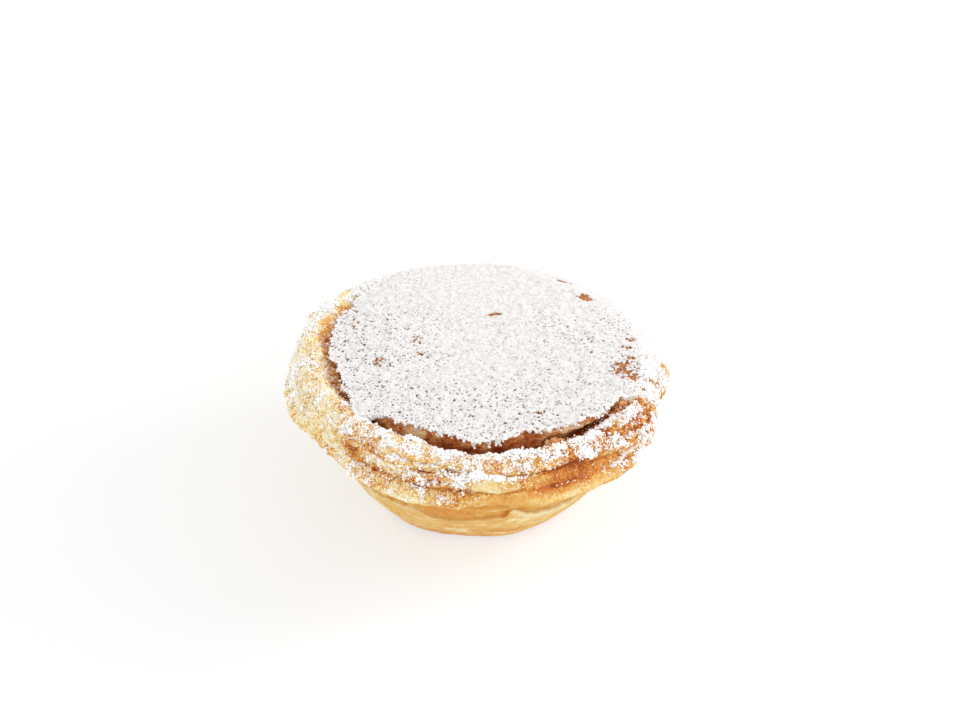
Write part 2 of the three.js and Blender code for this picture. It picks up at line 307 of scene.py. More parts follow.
def fractal(points, size, octaves, seed):
    """Noise with finer and weaker noise added to it."""
    size = np.asarray(size, float)
    weights = [0.5**octave for octave in range(octaves)]
    layers = [w * noise(points, size / 2**k, seed + 17 * k) for k, w in enumerate(weights)]
    return sum(layers) / sum(weights)


def grains(points, size, seed, flat=False):
    """The distances to the nearest and next grain centre, in grain sizes, and the nearest one's number."""
    place = points / size
    if flat:
        place = place * np.array([1, 1, 0])
    first = np.floor(place).astype(np.int64)
    nearest = np.full(len(points), 9.0)
    second = np.full(len(points), 9.0)
    number = np.zeros(len(points))
    levels = (0,) if flat else (-1, 0, 1)
    for ix in (-1, 0, 1):
        for iy in (-1, 0, 1):
            for iz in levels:
                cell = first + np.array([ix, iy, iz])
                ids = [lattice_value(*cell.T, seed + axis) for axis in range(4)]
                centre = cell + np.stack(ids[:3], axis=1)
                if flat:
                    centre[:, 2] = 0
                away = np.linalg.norm(place - centre, axis=1)
                closer = away < nearest
                second = np.where(closer, nearest, np.minimum(second, away))
                number = np.where(closer, ids[3], number)
                nearest = np.where(closer, away, nearest)
    return nearest, second, number


def rough_ring(angle, bumps, seed):
    """Uneven noise round the tart, from -1 to 1, with this many bumps in a turn."""
    place = np.mod(angle / TURN, 1) * bumps
    first = np.floor(place).astype(np.int64)
    share = place - first
    share = share * share * (3 - 2 * share)
    start, end = (lattice_value((first + step) % bumps, 0, 0, seed) for step in (0, 1))
    return 2 * between(start, end, share) - 1


def ragged(angle, seed):
    """The torn edge of a flake: bumps of a few sizes, from -1 to 1."""
    coarse = 0.45 * rough_ring(angle, 60, seed)
    return coarse + 0.33 * rough_ring(angle, 170, seed + 1) + 0.22 * rough_ring(angle, 420, seed + 2)


def shift_at(spots, angle):
    """The sum of all the local shifts at an angle."""
    degrees = angle * 360 / TURN
    total = 0
    for middle, width, by in spots:
        aside = np.mod(degrees - middle + 180, 360) - 180
        total = total + by * bell(aside, 0, width)
    return total


def base_shift(angle):
    """How far the base stands out from an even circle."""
    return BASE_OVAL * np.cos(2 * angle) + shift_at(BASE_SHIFTS, angle)


def body_wall(angle):
    """The smooth wall of the body, which took the shape of its tin, from the base up."""
    rows = [(BASE_RADIUS - 0.1 + base_shift(angle), 0.6)]
    for share in (0.2, 0.42, 0.65, 0.86):
        shift = base_shift(angle) * (1 - share**2)
        bulge = shift + BODY_BULGE * math.sin(math.pi * share) + 0.15 * ripple(angle, 40 + 9 * share, 2, 7)
        rows.append((
            between(BASE_RADIUS, BODY_EDGE_RADIUS - 0.7, share) + bulge,
            between(0.6, BODY_EDGE_HEIGHT - 0.9, share),
        ))
    return rows


def flap_lift(angle):
    """The skin on the body's edge: a torn flap stands up right of the front, and the edge sags beside it."""
    degrees = angle * 360 / TURN
    flap = fade(degrees, 279.5, 283) * (1 - fade(degrees, 284, 290))
    return 1.5 * flap - 0.8 * bell(degrees, 299, 9) - 0.9 * bell(degrees, 256, 8)


def body_flakes(angle):
    """The body's ragged upper edge and the flake that shows in the recess over it."""
    edge = BODY_EDGE_RADIUS + 0.35 * ripple(angle, 3, 2, 11) + 0.12 * ragged(angle, 501)
    edge = edge + 0.5 * bell(angle * 360 / TURN, 300, 12)
    edge_height = BODY_EDGE_HEIGHT + 0.5 * ripple(angle, 8, 2, 9) + 0.45 * ragged(angle, 505)
    edge_height = edge_height + flap_lift(angle)
    under = UNDER_FLAKE_RADIUS + 0.5 * ripple(angle, 13, 2, 9) + 0.2 * ragged(angle, 509)
    under_height = UNDER_FLAKE_HEIGHT + 0.3 * ripple(angle, 17, 2, 6) + 0.2 * ragged(angle, 513)
    under_height = np.maximum(under_height, edge_height + 2.0)
    return [
        (edge, edge_height),
        (edge - 0.9, edge_height + 0.1),
        (edge - 0.7, under_height - 1.4),
        (under - 0.3, under_height - 0.6),
        (under, under_height),
        (RIM_ROOT_RADIUS - 0.1, under_height + 1),
    ]


def flake_edge(index, angle):
    """The edge of one rim flake at an angle: its radius and its lower and upper height."""
    flake = RIM_FLAKES[index]
    breaks = shift_at(RIM_BREAKS, angle) * (1 - index / len(RIM_FLAKES))
    radius = outline_at(flake["outline"], angle) + shift_at(flake["shifts"], angle) + breaks
    radius = radius + flake["wander"] * ripple(angle, 100 + 31 * index, 3, 14)
    lift = outline_at(RIM_LIFT, angle) + 0.22 * ripple(angle, 200 + 17 * index, 2, 8)
    torn = outline_at(ROUGHNESS, angle)
    radius = radius + 0.4 * torn * ragged(angle, 520 + 5 * index)
    low = flake["low"] + lift + 0.35 * torn * ragged(angle, 560 + 5 * index)
    return radius, low, flake["high"] + lift + 0.2 * torn * ragged(angle, 580 + 5 * index)


def rim_stack(angle):
    """The flared rim: its underside, then each flake's edge and the groove over it, open or baked shut."""
    edges = [flake_edge(index, angle) for index in range(len(RIM_FLAKES))]
    below = 0
    rows = []
    for share in (0.3, 0.65):
        rows.append((
            between(RIM_ROOT_RADIUS, edges[0][0], share),
            between(RIM_ROOT_HEIGHT + 0.4, edges[0][1], share),
        ))
    for index, flake in enumerate(RIM_FLAKES):
        radius, low, high = edges[index]
        under = radius - 0.5 * (1 - below)
        rows.append((under, low))
        rows.append((radius, between(low, high, 0.4)))
        if index + 1 < len(RIM_FLAKES):
            above_radius, above_low, _ = edges[index + 1]
            filled = outline_at(flake["filled"], angle)
            depth = outline_at(flake["groove"], angle) * (1 + 0.3 * ripple(angle, 300 + 13 * index, 1, 6))
            shoulder = between(radius, np.minimum(radius, above_radius + 0.6), 0.5) - 0.3
            groove = np.minimum(radius, above_radius) - np.maximum(0.5, depth)
            slope = between(radius, above_radius, 0.55)
            rows.append((between(shoulder, slope, filled), high))
            rows.append((between(groove, slope, filled), between(high, above_low, 0.6)))
            below = filled
    return rows


def cavity_wall(gap):
    """The wall of the cavity below its mouth, from the floor up, drawn in by a gap for the filling."""
    floor = CAVITY_FLOOR_HEIGHT + gap
    foot = [(CAVITY_FLOOR_RADIUS - gap, floor), (CAVITY_FLOOR_RADIUS + 1.6 - gap, floor + 1.4)]
    slope = [
        (
            between(CAVITY_FLOOR_RADIUS, CAVITY_MOUTH_RADIUS, out) - gap,
            between(floor, CAVITY_MOUTH_HEIGHT, up),
        )
        for out, up in ((0.42, 0.32), (0.75, 0.66))
    ]
    return foot + slope


def lip_top(angle):
    lift = 0.75 * outline_at(RIM_LIFT, angle)
    return LIP_HEIGHT + lift + 0.25 * ripple(angle, 61, 2, 9)


def ledge_height(angle):
    """The height of the gap's floor, where the case meets the filling."""
    return np.minimum(lip_top(angle) - outline_at(GAP_DEPTH, angle), LEDGE_LIMIT)


def lip_inside(angle):
    inside = outline_at(LIP_INSIDE, angle) + shift_at(LIP_SHIFTS, angle)
    return inside + 0.2 * ripple(angle, 67, 3, 12) + 0.25 * ragged(angle, 590)


def lip_and_cavity(angle):
    """The rounded top of the lip and the inner wall, which the filling lies against."""
    top = lip_top(angle)
    inside = lip_inside(angle)
    outside = outline_at(LIP_OUTSIDE, angle)
    ledge = ledge_height(angle)
    shoulder = np.minimum(LIP_ROUNDING, (top - ledge) * 0.4)
    return [
        (between(inside, outside, 0.62), top - LIP_ROUNDING * 0.35),
        (between(inside, outside, 0.3), top),
        (inside, top - shoulder),
        (between(LEDGE_RADIUS, inside, 0.5), between(ledge, top - shoulder, 0.3)),
        (LEDGE_RADIUS, ledge),
        (CAVITY_MOUTH_RADIUS, CAVITY_MOUTH_HEIGHT),
        *reversed(cavity_wall(0)),
    ]


def crust_radius(angle):
    outline = outline_at(CRUST_OUTLINE, angle) + shift_at(CRUST_SHIFTS, angle)
    return outline + 0.25 * ripple(angle, 83, 4, 16) + 0.13 * ragged(angle, 600)


def crust_height(share, angle):
    """The height of the crust at a share of the way from its middle to its edge."""
    dome = DOME_RISE * (1 - share**2) - CENTRE_SINK * bell(share, 0, 0.45)
    swell = 0.28 * share * ripple(angle, 71, 1, 4) * np.sin(math.pi * share)
    return CRUST_HEIGHT + dome + swell


def as_rows(pairs, angle):
    """Radius and height pairs as one array: row, radius or height, angle."""
    return np.array([[np.broadcast_to(value, angle.shape) for value in pair] for pair in pairs])


def case_rows(angle):
    """Rows of the case's outline, from the flat base over the rim to the floor of the cavity."""
    flat = [(FLAT_RADIUS + base_shift(angle), 0)]
    rows = flat + body_wall(angle) + body_flakes(angle) + rim_stack(angle) + lip_and_cavity(angle)
    return as_rows(rows, angle)


def refine(rows, spacing, creases):
    """Rows on smooth curves through the given ones, with corners at the creases, and their places."""
    fine = []
    places = []
    last = len(rows) - 1
    for index in range(last):
        start, end = rows[index], rows[index + 1]
        before = 2 * start - end if index in creases else rows[index - 1]
        after = 2 * end - start if index + 1 in creases else rows[index + 2]
        length = np.linalg.norm(end - start, axis=0).mean()
        apart = next(size for limit, size in spacing if index < limit)
        count = max(1, round(length / apart))
        for share in np.arange(count) / count:
            ease = share * (1 - share) / 2
            bend = (1 - share) * (2 * start - before - end) + share * (2 * end - start - after)
            fine.append(between(start, end, share) + ease * bend)
            places.append(index + share)
    return np.array(fine + [rows[last]]), np.array(places + [last])


def ring_points(rows, angle):
    """Rows of radius and height as points: row, step, x y z."""
    return on_ring(rows[:, 0], angle, rows[:, 1])


def ring_normals(points):
    """The outward direction at each point of a surface of rings."""
    along = np.roll(points, -1, axis=1) - np.roll(points, 1, axis=1)
    up = np.gradient(points, axis=0)
    normal = np.cross(along, up)
    return normal / np.maximum(np.linalg.norm(normal, axis=-1, keepdims=True), 1e-9)


def ring_faces(row_count, step_count):
    """Quads between the rings, and a fan from each end ring to a middle point that comes after the others."""
    row, step = np.meshgrid(np.arange(row_count - 1), np.arange(step_count), indexing="ij")
    here = row * step_count + step
    beside = row * step_count + (step + 1) % step_count
    quads = np.stack([here, beside, beside + step_count, here + step_count], axis=-1).reshape(-1, 4)
    around = np.arange(step_count)
    after = (around + 1) % step_count
    low = row_count * step_count
    top = (row_count - 1) * step_count
    fans = np.concatenate([
        np.stack([np.full(step_count, low), after, around], axis=1),
        np.stack([np.full(step_count, low + 1), top + around, top + after], axis=1),
    ])
    return quads, fans


def make_piece(name, points, face_groups, material, values=None, smooth=True):
    """A named mesh of these points and faces, with one number a point under each name in values."""
    mesh = bpy.data.meshes.new(name)
    mesh.vertices.add(len(points))
    mesh.vertices.foreach_set("co", (np.asarray(points) * MM).ravel())
    corners = np.concatenate([group.ravel() for group in face_groups])
    sizes = np.concatenate([np.full(len(group), group.shape[1]) for group in face_groups])
    mesh.loops.add(len(corners))
    mesh.loops.foreach_set("vertex_index", corners.astype(np.int32))
    mesh.polygons.add(len(sizes))
    mesh.polygons.foreach_set("loop_start", (np.cumsum(sizes) - sizes).astype(np.int32))
    mesh.polygons.foreach_set("use_smooth", np.full(len(sizes), smooth))
    for key, numbers in (values or {}).items():
        attribute = mesh.attributes.new(key, "FLOAT", "POINT")
        attribute.data.foreach_set("value", np.asarray(numbers, np.float32).ravel())
    mesh.update(calc_edges=True)
    mesh.materials.append(material)
    piece = bpy.data.objects.new(name, mesh)
    bpy.context.scene.collection.objects.link(piece)
    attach(piece, "root")
    return piece


def spot_sum(key, degrees, row):
    """The sum of one amount over all the named places of the pastry."""
    total = np.zeros(len(row))
    for spot in PASTRY_SPOTS:
        aside = (np.mod(degrees - spot["angle"] + 180, 360) - 180) / spot["wide"]
        over = (row - spot["row"]) / spot["tall"]
        total += spot.get(key, 0) * np.exp(-((aside**2 + over**2) ** 1.5))
    return total


def rim_way(path):
    """The points of the rim at a list of degrees and rows."""
    degrees, row = np.array(path, float).T
    angle = np.radians(degrees)
    rows = case_rows(angle)
    below = np.floor(row).astype(int)
    column = np.arange(len(row))
    radius, height = between(rows[below, :, column], rows[below + 1, :, column], (row - below)[:, None]).T
    return on_ring(radius, angle, height)


def distance_to_way(points, way):
    """How far each point is from a line through the points of a way."""
    nearest = np.full(len(points), 99.0)
    for start, end in zip(way[:-1], way[1:]):
        along = end - start
        share = np.clip((points - start) @ along / (along @ along), 0, 1)
        nearest = np.minimum(nearest, np.linalg.norm(points - start - share[:, None] * along, axis=1))
    return nearest


def swirl_lines(points, row):
    """The curved grooves between thin layers at the right of the rim, from 0 to 1."""
    total = np.zeros(len(points))
    near = np.where((row > RIM_START_ROW) & (row < 27) & (points[:, 0] > 15))[0]
    place = points[near] + 0.35 * noise(points[near], 1.4, 29)[:, None]
    for wide, path in SWIRLS:
        away = distance_to_way(place, rim_way(path))
        total[near] = np.maximum(total[near], 1 - fade(away, 0.45 * wide, 1.05 * wide))
    return total


def sugar_density(points, degrees, row, swirl):
    """How much sugar lies at each place of the pastry, from 0 for none to about 1."""
    around = np.radians(degrees)
    density = between(outline_at(SUGAR_FLAKES, around), outline_at(SUGAR_LIP, around), fade(row, 20.5, 23))
    density = density * fade(row, 13.8, 15) + spot_sum("sugar", degrees, row) - 1.2 * swirl
    gap = fade(row, 26, 26.8)
    left = fade(degrees, 140, 155) * (1 - fade(degrees, 215, 228))
    closed = 1 - fade(degrees, 140, 155) + fade(degrees, 322, 334)
    density = density * (1 - gap * (1 - 0.45 * left - closed))
    for strength, size, seed in ((0.2, 4.5, 65), (0.2, 2.2, 61), (0.3, 0.85, 63)):
        density = density + strength * noise(points, size, seed)
    return density


# Layers of sugar grains in the pastry's surface: their size, the share of them that shows, height and seed.
SUGAR_COATS = [(0.95, 0.6, 0.26, 171), (0.62, 0.8, 0.18, 173)]


def sugar_coat(points, density):
    """Grains of sugar that lie close together on a surface: how high they stand, and how far they hide it."""
    height = np.zeros(len(points))
    for size, share, tall, seed in SUGAR_COATS:
        nearest, _, number = grains(points, size, seed)
        lies_here = fade(density * share - number, -0.04, 0.04)
        height = np.maximum(height, tall * lies_here * np.clip(1 - (nearest / 0.62) ** 2, 0, 1))
    return height, fade(height, 0.015, 0.09)


class Pastry:
    """The skin of the case: its points after the relief, outward directions, places on it, and its sugar."""

    def __init__(self):
        angle = np.arange(CASE_STEPS) * TURN / CASE_STEPS
        rows, places = refine(case_rows(angle), CASE_SPACING, CASE_CREASES)
        grid = ring_points(rows, angle)
        self.row_count = len(places)
        self.top_height = rows[-1, 1].mean()
        self.normals = ring_normals(grid).reshape(-1, 3)
        self.points = grid.reshape(-1, 3)
        self.row = np.repeat(places, CASE_STEPS)
        self.degrees = np.tile(np.degrees(angle), self.row_count)
        self.around = np.radians(self.degrees)
        self.seen = (self.row > FIRST_SEEN_ROW) & (self.row < LAST_SEEN_ROW)
        self.rim = fade(self.row, 13, 14.5) * (1 - fade(self.row, 27.5, LAST_SEEN_ROW))
        self.rough = outline_at(ROUGHNESS, self.around) * np.clip(1 - self.spots("smooth"), 0, 1)
        self.swirl = swirl_lines(self.points, self.row)
        nearest, second, self.crumb = grains(self.points, 1.8, 35)
        self.dome = 1 - nearest**2
        self.crease = 1 - fade(second - nearest, 0, 0.22)
        self.relief = self.make_relief()
        self.points = self.points + self.normals * self.relief[:, None]
        self.normals = ring_normals(self.points.reshape(self.row_count, CASE_STEPS, 3)).reshape(-1, 3)
        self.density = sugar_density(self.points, self.degrees, self.row, self.swirl)
        upward = fade(self.normals[:, 2], -0.5, 0.35)
        lying = np.clip(self.density, 0, 1) * upward * self.rim
        coat, cover = sugar_coat(self.points, lying)
        self.dust = 0.55 * cover + 0.45 * lying
        self.points = self.points + self.normals * (coat * self.seen)[:, None]

    def spots(self, key):
        return spot_sum(key, self.degrees, self.row)

    def make_relief(self):
        points = self.points
        body = 1 - fade(self.row, 11, 13)
        waves = fractal(points, (4.2, 4.2, 2.2), 2, 31)
        lumps = 0.5 * (self.crumb - 0.5) + 0.2 * self.dome - 0.16 * self.crease
        fine = fractal(points, 0.9, 2, 43)
        layers = noise(points + 0.6 * noise(points, 5, 37)[:, None], (6.5, 6.5, 0.62), 41)
        face = 1 - fade(self.row, 22.5, 24)
        rim = 0.26 * waves + self.rough**1.5 * lumps + (0.05 + 0.12 * self.rough) * fine + 0.1 * layers * face
        self.layers = fractal(points + 0.5 * noise(points, 4, 38)[:, None], (5, 5, 0.7), 2, 49)
        tin = 0.13 * fractal(points, (3.4, 3.4, 1.5), 3, 47) + 0.09 * self.layers
        relief = self.rim * (rim - 0.45 * self.swirl) + body * tin + self.spots("push")
        return np.where(self.seen, relief, 0)

    def brown_with_painted_shading(self):
        body_to_rim = fade(self.row, 12, 14)
        brown = between(outline_at(BROWN_BODY, self.around), outline_at(BROWN_RIM, self.around), body_to_rim)
        # Open grooves between the flakes are made browner: painted shade in the creases.
        for groove, filled in ((LOW_GROOVE_ROW, LOW_FILLED), (HIGH_GROOVE_ROW, HIGH_FILLED)):
            is_open = 1 - outline_at(filled, self.around)
            brown = brown + 0.12 * is_open * bell(self.row, groove, 0.35)
        # The recess under the rim is made a little browner: painted shade.
        recess_shade = bell(self.row, 8.6, 1.5)
        # The body's ragged upper edge is made paler: a painted highlight.
        edge = bell(self.row, 6.1, 0.5)
        brown = brown + 0.04 * recess_shade - 0.16 * edge + self.spots("brown") + 0.12 * self.swirl
        uneven = self.rim * self.rough * (0.5 + outline_at(BROWN_RIM, self.around))
        # Creases between the crumbs are made browner, painted shade, and the crumbs' own tone differs at
        # random.
        brown = brown + uneven * (0.34 * (self.crumb - 0.5) + 0.14 * self.crease)
        # Where the relief sinks the pastry is browner and where it stands out it is paler: painted shade and
        # light.
        brown = brown + 0.1 * fractal(self.points, 5, 3, 53) * (0.5 + self.rim) - 0.14 * self.relief
        flakes = fade(fractal(self.points, (3.2, 3.2, 0.9), 2, 57), 0.2, 0.5)
        patches = 0.18 * fractal(self.points, (6, 6, 2.2), 3, 55) - 0.2 * flakes
        # A darker line at the very foot of the body: a painted contact shadow.
        foot = 1 - fade(self.row, 0.9, 1.5)
        brown = brown + (1 - body_to_rim) * (0.1 * self.layers + patches + 0.5 * foot)
        return brown + 0.3 * fade(self.row, 25.8, 27)


def make_case(pastry, material):
    """The pastry case, from its flat base over the flaky rim to the cavity that the filling hides."""
    middles = np.array([[0, 0, 0], [0, 0, pastry.top_height]])
    values = {
        # The brown numbers hold the pastry's browning together with its painted shade and highlights.
        "brown": np.append(pastry.brown_with_painted_shading(), [0.3, 0.3]),
        "dust": np.append(pastry.dust, [0, 0]),
        "rough": np.append(pastry.rough * pastry.rim, [0, 0]),
    }
    faces = ring_faces(pastry.row_count, CASE_STEPS)
    points = np.concatenate([pastry.points, middles])
    case = make_piece("case_pastry", points, faces, material, values)
    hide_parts("pastry_case")


def filling_rows(angle):
    """Rows of the filling's outline: the buried wall, the bare side, the crust's edge and its top."""
    crust = crust_radius(angle)
    bulge = bell(np.degrees(angle), 306, 20, 4)
    side = crust - CRUST_OVERHANG * (0.6 - 0.45 * bulge)
    foot = LEDGE_RADIUS - 1.4 * FIT_GAP
    foot_height = ledge_height(angle) + 0.3
    under = CRUST_HEIGHT - CRUST_THICKNESS + 0.1
    rows = [
        *cavity_wall(FIT_GAP),
        (CAVITY_MOUTH_RADIUS - FIT_GAP, CAVITY_MOUTH_HEIGHT),
        (foot, foot_height),
        (between(foot, side, 0.5), between(foot_height, under, 0.5)),
        (side + 0.2 * ripple(angle, 91, 5, 14), between(foot_height, under, 0.8)),
        (side, under),
        (crust - 0.3, CRUST_HEIGHT - CRUST_THICKNESS * 0.65),
        (crust, CRUST_HEIGHT - CRUST_THICKNESS * 0.35),
        (crust - 0.3, CRUST_HEIGHT - 0.05),
    ]
    for share in np.linspace(0.97, 0.05, CRUST_RINGS):
        rows.append((share * (crust - 0.3), crust_height(share, angle) - 0.05))
    return as_rows(rows, angle)


def make_filling(material):
    """The bean filling: crumbly where its side shows in the gap, with a thin crust that carries the sugar."""
    angle = np.arange(FILLING_STEPS) * TURN / FILLING_STEPS
    rows, places = refine(filling_rows(angle), FILLING_SPACING, FILLING_CREASES)
    grid = ring_points(rows, angle)
    normals = ring_normals(grid).reshape(-1, 3)
    points = grid.reshape(-1, 3)
    row = np.repeat(places, FILLING_STEPS)
    bare = fade(row, 5, 5.6) * (1 - fade(row, 8.8, 9.4))
    edge = fade(row, 8.4, 9.0) * (1 - fade(row, 11.2, 12))
    nearest, second, number = grains(points, 1.1, 71)
    crack = 1 - fade(second - nearest, 0.03, 0.2)
    crumbs = fractal(points, 1.2, 3, 73)
    relief = bare * (0.36 * crumbs + 0.16 * (number - 0.5) - 0.1 * crack + 0.2 * noise(points, 4, 79))
    relief += edge * (0.3 * fractal(points, 0.9, 2, 75) + 0.16 * noise(points, 2.6, 77))
    points = points + normals * relief[:, None]
    # Cracks are made darker, and the side darker low down in the gap: painted shade.
    side = 0.44 + 0.6 * crumbs + 0.3 * (number - 0.5) - 0.12 * crack
    side = side + shift_at(FILLING_LIGHT_AND_SHADE, np.tile(angle, len(places))) - 0.12 * (1 - fade(row, 5, 6.5))
    rim_tone = 0.22 + 0.5 * (side - 0.5) + 0.3 * fractal(points, 1.2, 2, 83)
    tone = between(side, rim_tone, 1 - bare)
    middles = np.array([[0, 0, rows[0, 1].mean()], [0, 0, rows[-1, 1].mean()]])
    faces = ring_faces(len(places), FILLING_STEPS)
    values = {"tone": np.append(tone, [0.5, 0.5])}
    closed = np.concatenate([points, middles])
    filling = make_piece("filling_paste", closed, faces, material, values)
    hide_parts("bean_filling")
    return points


def disc_grid(cells):
    """An even square grid pressed into a circle: each point's share of the radius, and its angle."""
    steps = np.linspace(-1, 1, cells + 1)
    a, b = np.meshgrid(steps, steps, indexing="ij")
    wide = np.abs(a) > np.abs(b)
    big = np.where(wide, a, b)
    small = np.where(wide, b, a)
    turn = math.pi / 4 * small / np.where(big == 0, 1, big)
    turn = np.where(wide, turn, math.pi / 2 - turn)
    return np.abs(big), np.mod(turn + np.where(big < 0, math.pi, 0), TURN)


# Holes in the sugar: the middle, the half sizes and the turn in degrees, how torn and how thin they are.
HOLE_COLUMNS = ("x", "y", "long", "wide", "turn", "torn", "thin")
SUGAR_HOLES = [dict(zip(HOLE_COLUMNS, numbers)) for numbers in [
    (2.8, 12.4, 1.7, 0.6, 10),
    (22.2, 18.9, 1.7, 1.3, -10),
    (29.1, -6.2, 2.5, 1.8, 60, 1.3, 0.15),
    (32.8, -4.8, 2, 1.2, 110, 1.4, 0.3),
    (31, -2.2, 2.4, 0.9, 0, 1.5, 0.5),
    (31.4, 4.2, 1.1, 0.9, 0, 1),
    (-20.6, -5.2, 2.2, 1.6, -20, 1.5, 0.55),
    (-25.4, -18, 1.5, 0.9, 40, 1.4, 0.5),
    (-26.2, 9.4, 1, 2.4, 10, 1.5, 0.6),
    (11.5, -22, 0.9, 0.5, 0),
    (-12, -1.8, 1.7, 1, 0, 1.6, 0.65),
    (-12.6, 2.8, 1.2, 1.2, 0, 1.6, 0.8),
    (17.7, 26, 1.7, 0.7, -20),
    (33.2, -8.2, 1.9, 0.95, -12, 0.9),
    (31.2, -9.2, 2.2, 1.2, 12, 0.9),
    (29.8, -10.4, 0.9, 1.1, 0, 1.2, 0.2),
    (33.4, -12.4, 1.3, 0.6, -20, 0.9),
    (30.2, 1.3, 1.8, 0.6, 0, 1.2, 0.2),
]]


def hole_depth(points):
    """How bare the crust is at each point, from 0 to 1, round the holes in the sugar."""
    bare = np.zeros(len(points))
    torn = 0.45 * noise(points, 0.9, 97) + 0.75 * noise(points, 0.42, 99)
    for hole in SUGAR_HOLES:
        turn = math.radians(hole["turn"])
        east = points[:, 0] - hole["x"]
        north = points[:, 1] - hole["y"]
        along = (east * math.cos(turn) + north * math.sin(turn)) / hole["long"]
        across = (north * math.cos(turn) - east * math.sin(turn)) / hole["wide"]
        away = np.sqrt(along**2 + across**2) + hole.get("thin", 0) + torn * hole.get("torn", 0.6)
        bare = np.maximum(bare, 1 - fade(away, 0.8, 1.05))
    return bare


def bridge_share(degrees):
    """Where the sugar lies over the closed gap onto the lip: 1 over it, 0 where the gap is open."""
    right_and_back = fade(degrees, 331.5, 336) + 1 - fade(degrees, 118, 134)
    return np.clip(right_and_back + 0.8 * bell(degrees, 219, 5), 0, 1)


def blanket_edge(angle):
    degrees = np.degrees(angle)
    spikes = 0.25 * rough_ring(angle, 300, 643) + 0.18 * rough_ring(angle, 520, 645)
    left = bell(degrees, 180, 40, 4)
    bites = 0.3 * fade(rough_ring(angle, 60, 647), 0.2, 0.8)
    torn = (0.2 + 0.5 * left) * ragged(angle, 640) + spikes + bites
    on_crust = crust_radius(angle) + 0.1 - torn
    return between(on_crust, lip_inside(angle) + 1.3 + spikes, bridge_share(degrees))


def blanket_height(radius, angle):
    """The height of the crust, or of the bridge of sugar from the crust's edge to the lip."""
    crust = crust_radius(angle)
    edge = np.maximum(blanket_edge(angle), crust + 0.5)
    beyond = np.clip((radius - crust) / (edge - crust), 0, 1)
    return between(crust_height(np.minimum(radius / crust, 1), angle), lip_top(angle), beyond)


# Layers of small holes between the grains: how far apart, the share that is open, the smallest and largest
# radius, the depth from 0 to 1, which also sets their painted shade, and a seed.
SPECKS = [(1.7, 0.62, 0.14, 0.32, 1.0, 101), (1.05, 0.5, 0.1, 0.22, 0.7, 103)]


def speck_share(flat):
    """How many specks there are and how dark their painted shade is: all at the front and left, fewer at the
    right, faint behind.
    """
    left = 1 - fade(flat[:, 0], -20, -1)
    front = (1 - fade(flat[:, 1], -19, -5)) * (1 - 0.4 * fade(flat[:, 0], 12, 24))
    right = fade(flat[:, 0], 8, 16) * (1 - fade(flat[:, 1], 12, 22))
    ahead = 1 - 0.55 * fade(flat[:, 1], 9, 20)
    return (0.5 + 0.5 * np.maximum(left, np.maximum(front, 0.45 * right))) * ahead


def specks_at(flat):
    """The small holes between the grains of the sugar, from 0 to 1, which also get painted shade."""
    share = speck_share(flat)
    shift = np.stack([noise(flat, 0.55, 131), noise(flat, 0.55, 137), np.zeros(len(flat))], axis=1)
    crowd = 0.3 * noise(flat, 3.4, 109)
    total = np.zeros(len(flat))
    for apart, open_share, small, large, deep, seed in SPECKS:
        nearest, _, number = grains(flat + 0.14 * shift, apart, seed, flat=True)
        limit = open_share * (0.55 + 0.45 * share + crowd)
        wide = between(large, small, np.clip(number / np.maximum(limit, 0.01), 0, 1))
        hole = (1 - fade(nearest * apart, 0.7 * wide, 1.15 * wide)) * (number < limit)
        total = np.maximum(total, hole * deep)
    return total * share


def sugar_relief(points):
    """The sugar's depth, how much painted shade its pits get and how bare the crust is, at points in the
    plane.
    """
    flat = points * np.array([1, 1, 0])
    pit = specks_at(flat)
    nearest, _, number = grains(flat + 0.3 * noise(flat, 1.1, 133)[:, None], 1.15, 105, flat=True)
    dome = np.clip(1 - nearest**2, 0, 1) * (0.5 + 0.7 * number)
    fine = fractal(flat, 0.75, 2, 129)
    dents = noise(flat, 2.8, 119) + 0.5 * noise(flat, 1.5, 113)
    bare = hole_depth(flat)
    rough = 0.5 + 0.5 * speck_share(flat)
    soft = 0.09 + 0.2 * fade(flat[:, 0], 3, 16)
    depth = 0.3 + 0.14 * fractal(flat, 8, 3, 107) + soft * dents + rough * (0.26 * dome + 0.2 * fine)
    return depth - 0.26 * pit - 0.4 * bare, pit * (1 - bare), bare


def make_blanket(material):
    """The blanket of icing sugar on the crust and over the closed part of the gap, open in small pits."""
    share, angle = disc_grid(BLANKET_CELLS)
    radius = share * blanket_edge(angle)
    height = blanket_height(radius, angle)
    points = on_ring(radius, angle, height).reshape(-1, 3)
    share = share.reshape(-1)
    depth, pit, bare = sugar_relief(points)
    points[:, 2] += depth * (1 - 0.55 * fade(share, 0.975, 1)) - 0.2 * fade(share, 0.99, 1)
    count = BLANKET_CELLS + 1
    index = np.arange(count * count).reshape(count, count)
    quads = np.stack([index[:-1, :-1], index[1:, :-1], index[1:, 1:], index[:-1, 1:]], axis=-1).reshape(-1, 4)
    rim = np.concatenate([index[:-1, 0], index[-1, :-1], index[:0:-1, -1], index[0, :0:-1]])
    skirt = points[rim].copy()
    closed = bridge_share(np.degrees(angle.reshape(-1)[rim]))
    skirt[:, 2] = height.reshape(-1)[rim] - 0.5 - 5 * closed * (1 - closed)
    skirt[:, :2] *= 0.985
    start = count * count
    below = start + np.arange(len(rim))
    walls = np.stack([rim, np.roll(rim, -1), np.roll(below, -1), below], axis=1)[:, ::-1]
    middle = start + len(rim)
    floor = np.stack([np.full(len(rim), middle), np.roll(below, -1), below], axis=1)
    points = np.concatenate([points, skirt, [[0, 0, CRUST_HEIGHT - 1.5]]])
    plain = np.zeros(len(rim) + 1)
    # How strong the painted shade of the dots in the shader is.
    shade_dots = speck_share(points[:start] * np.array([1, 1, 0]))
    # The pit numbers set the painted shade in the pits.
    numbers = {"pit": pit, "bare": bare, "shade_dots": shade_dots}
    values = {key: np.append(value, plain) for key, value in numbers.items()}
    make_piece("sugar_blanket", points, (quads, walls, floor), material, values)


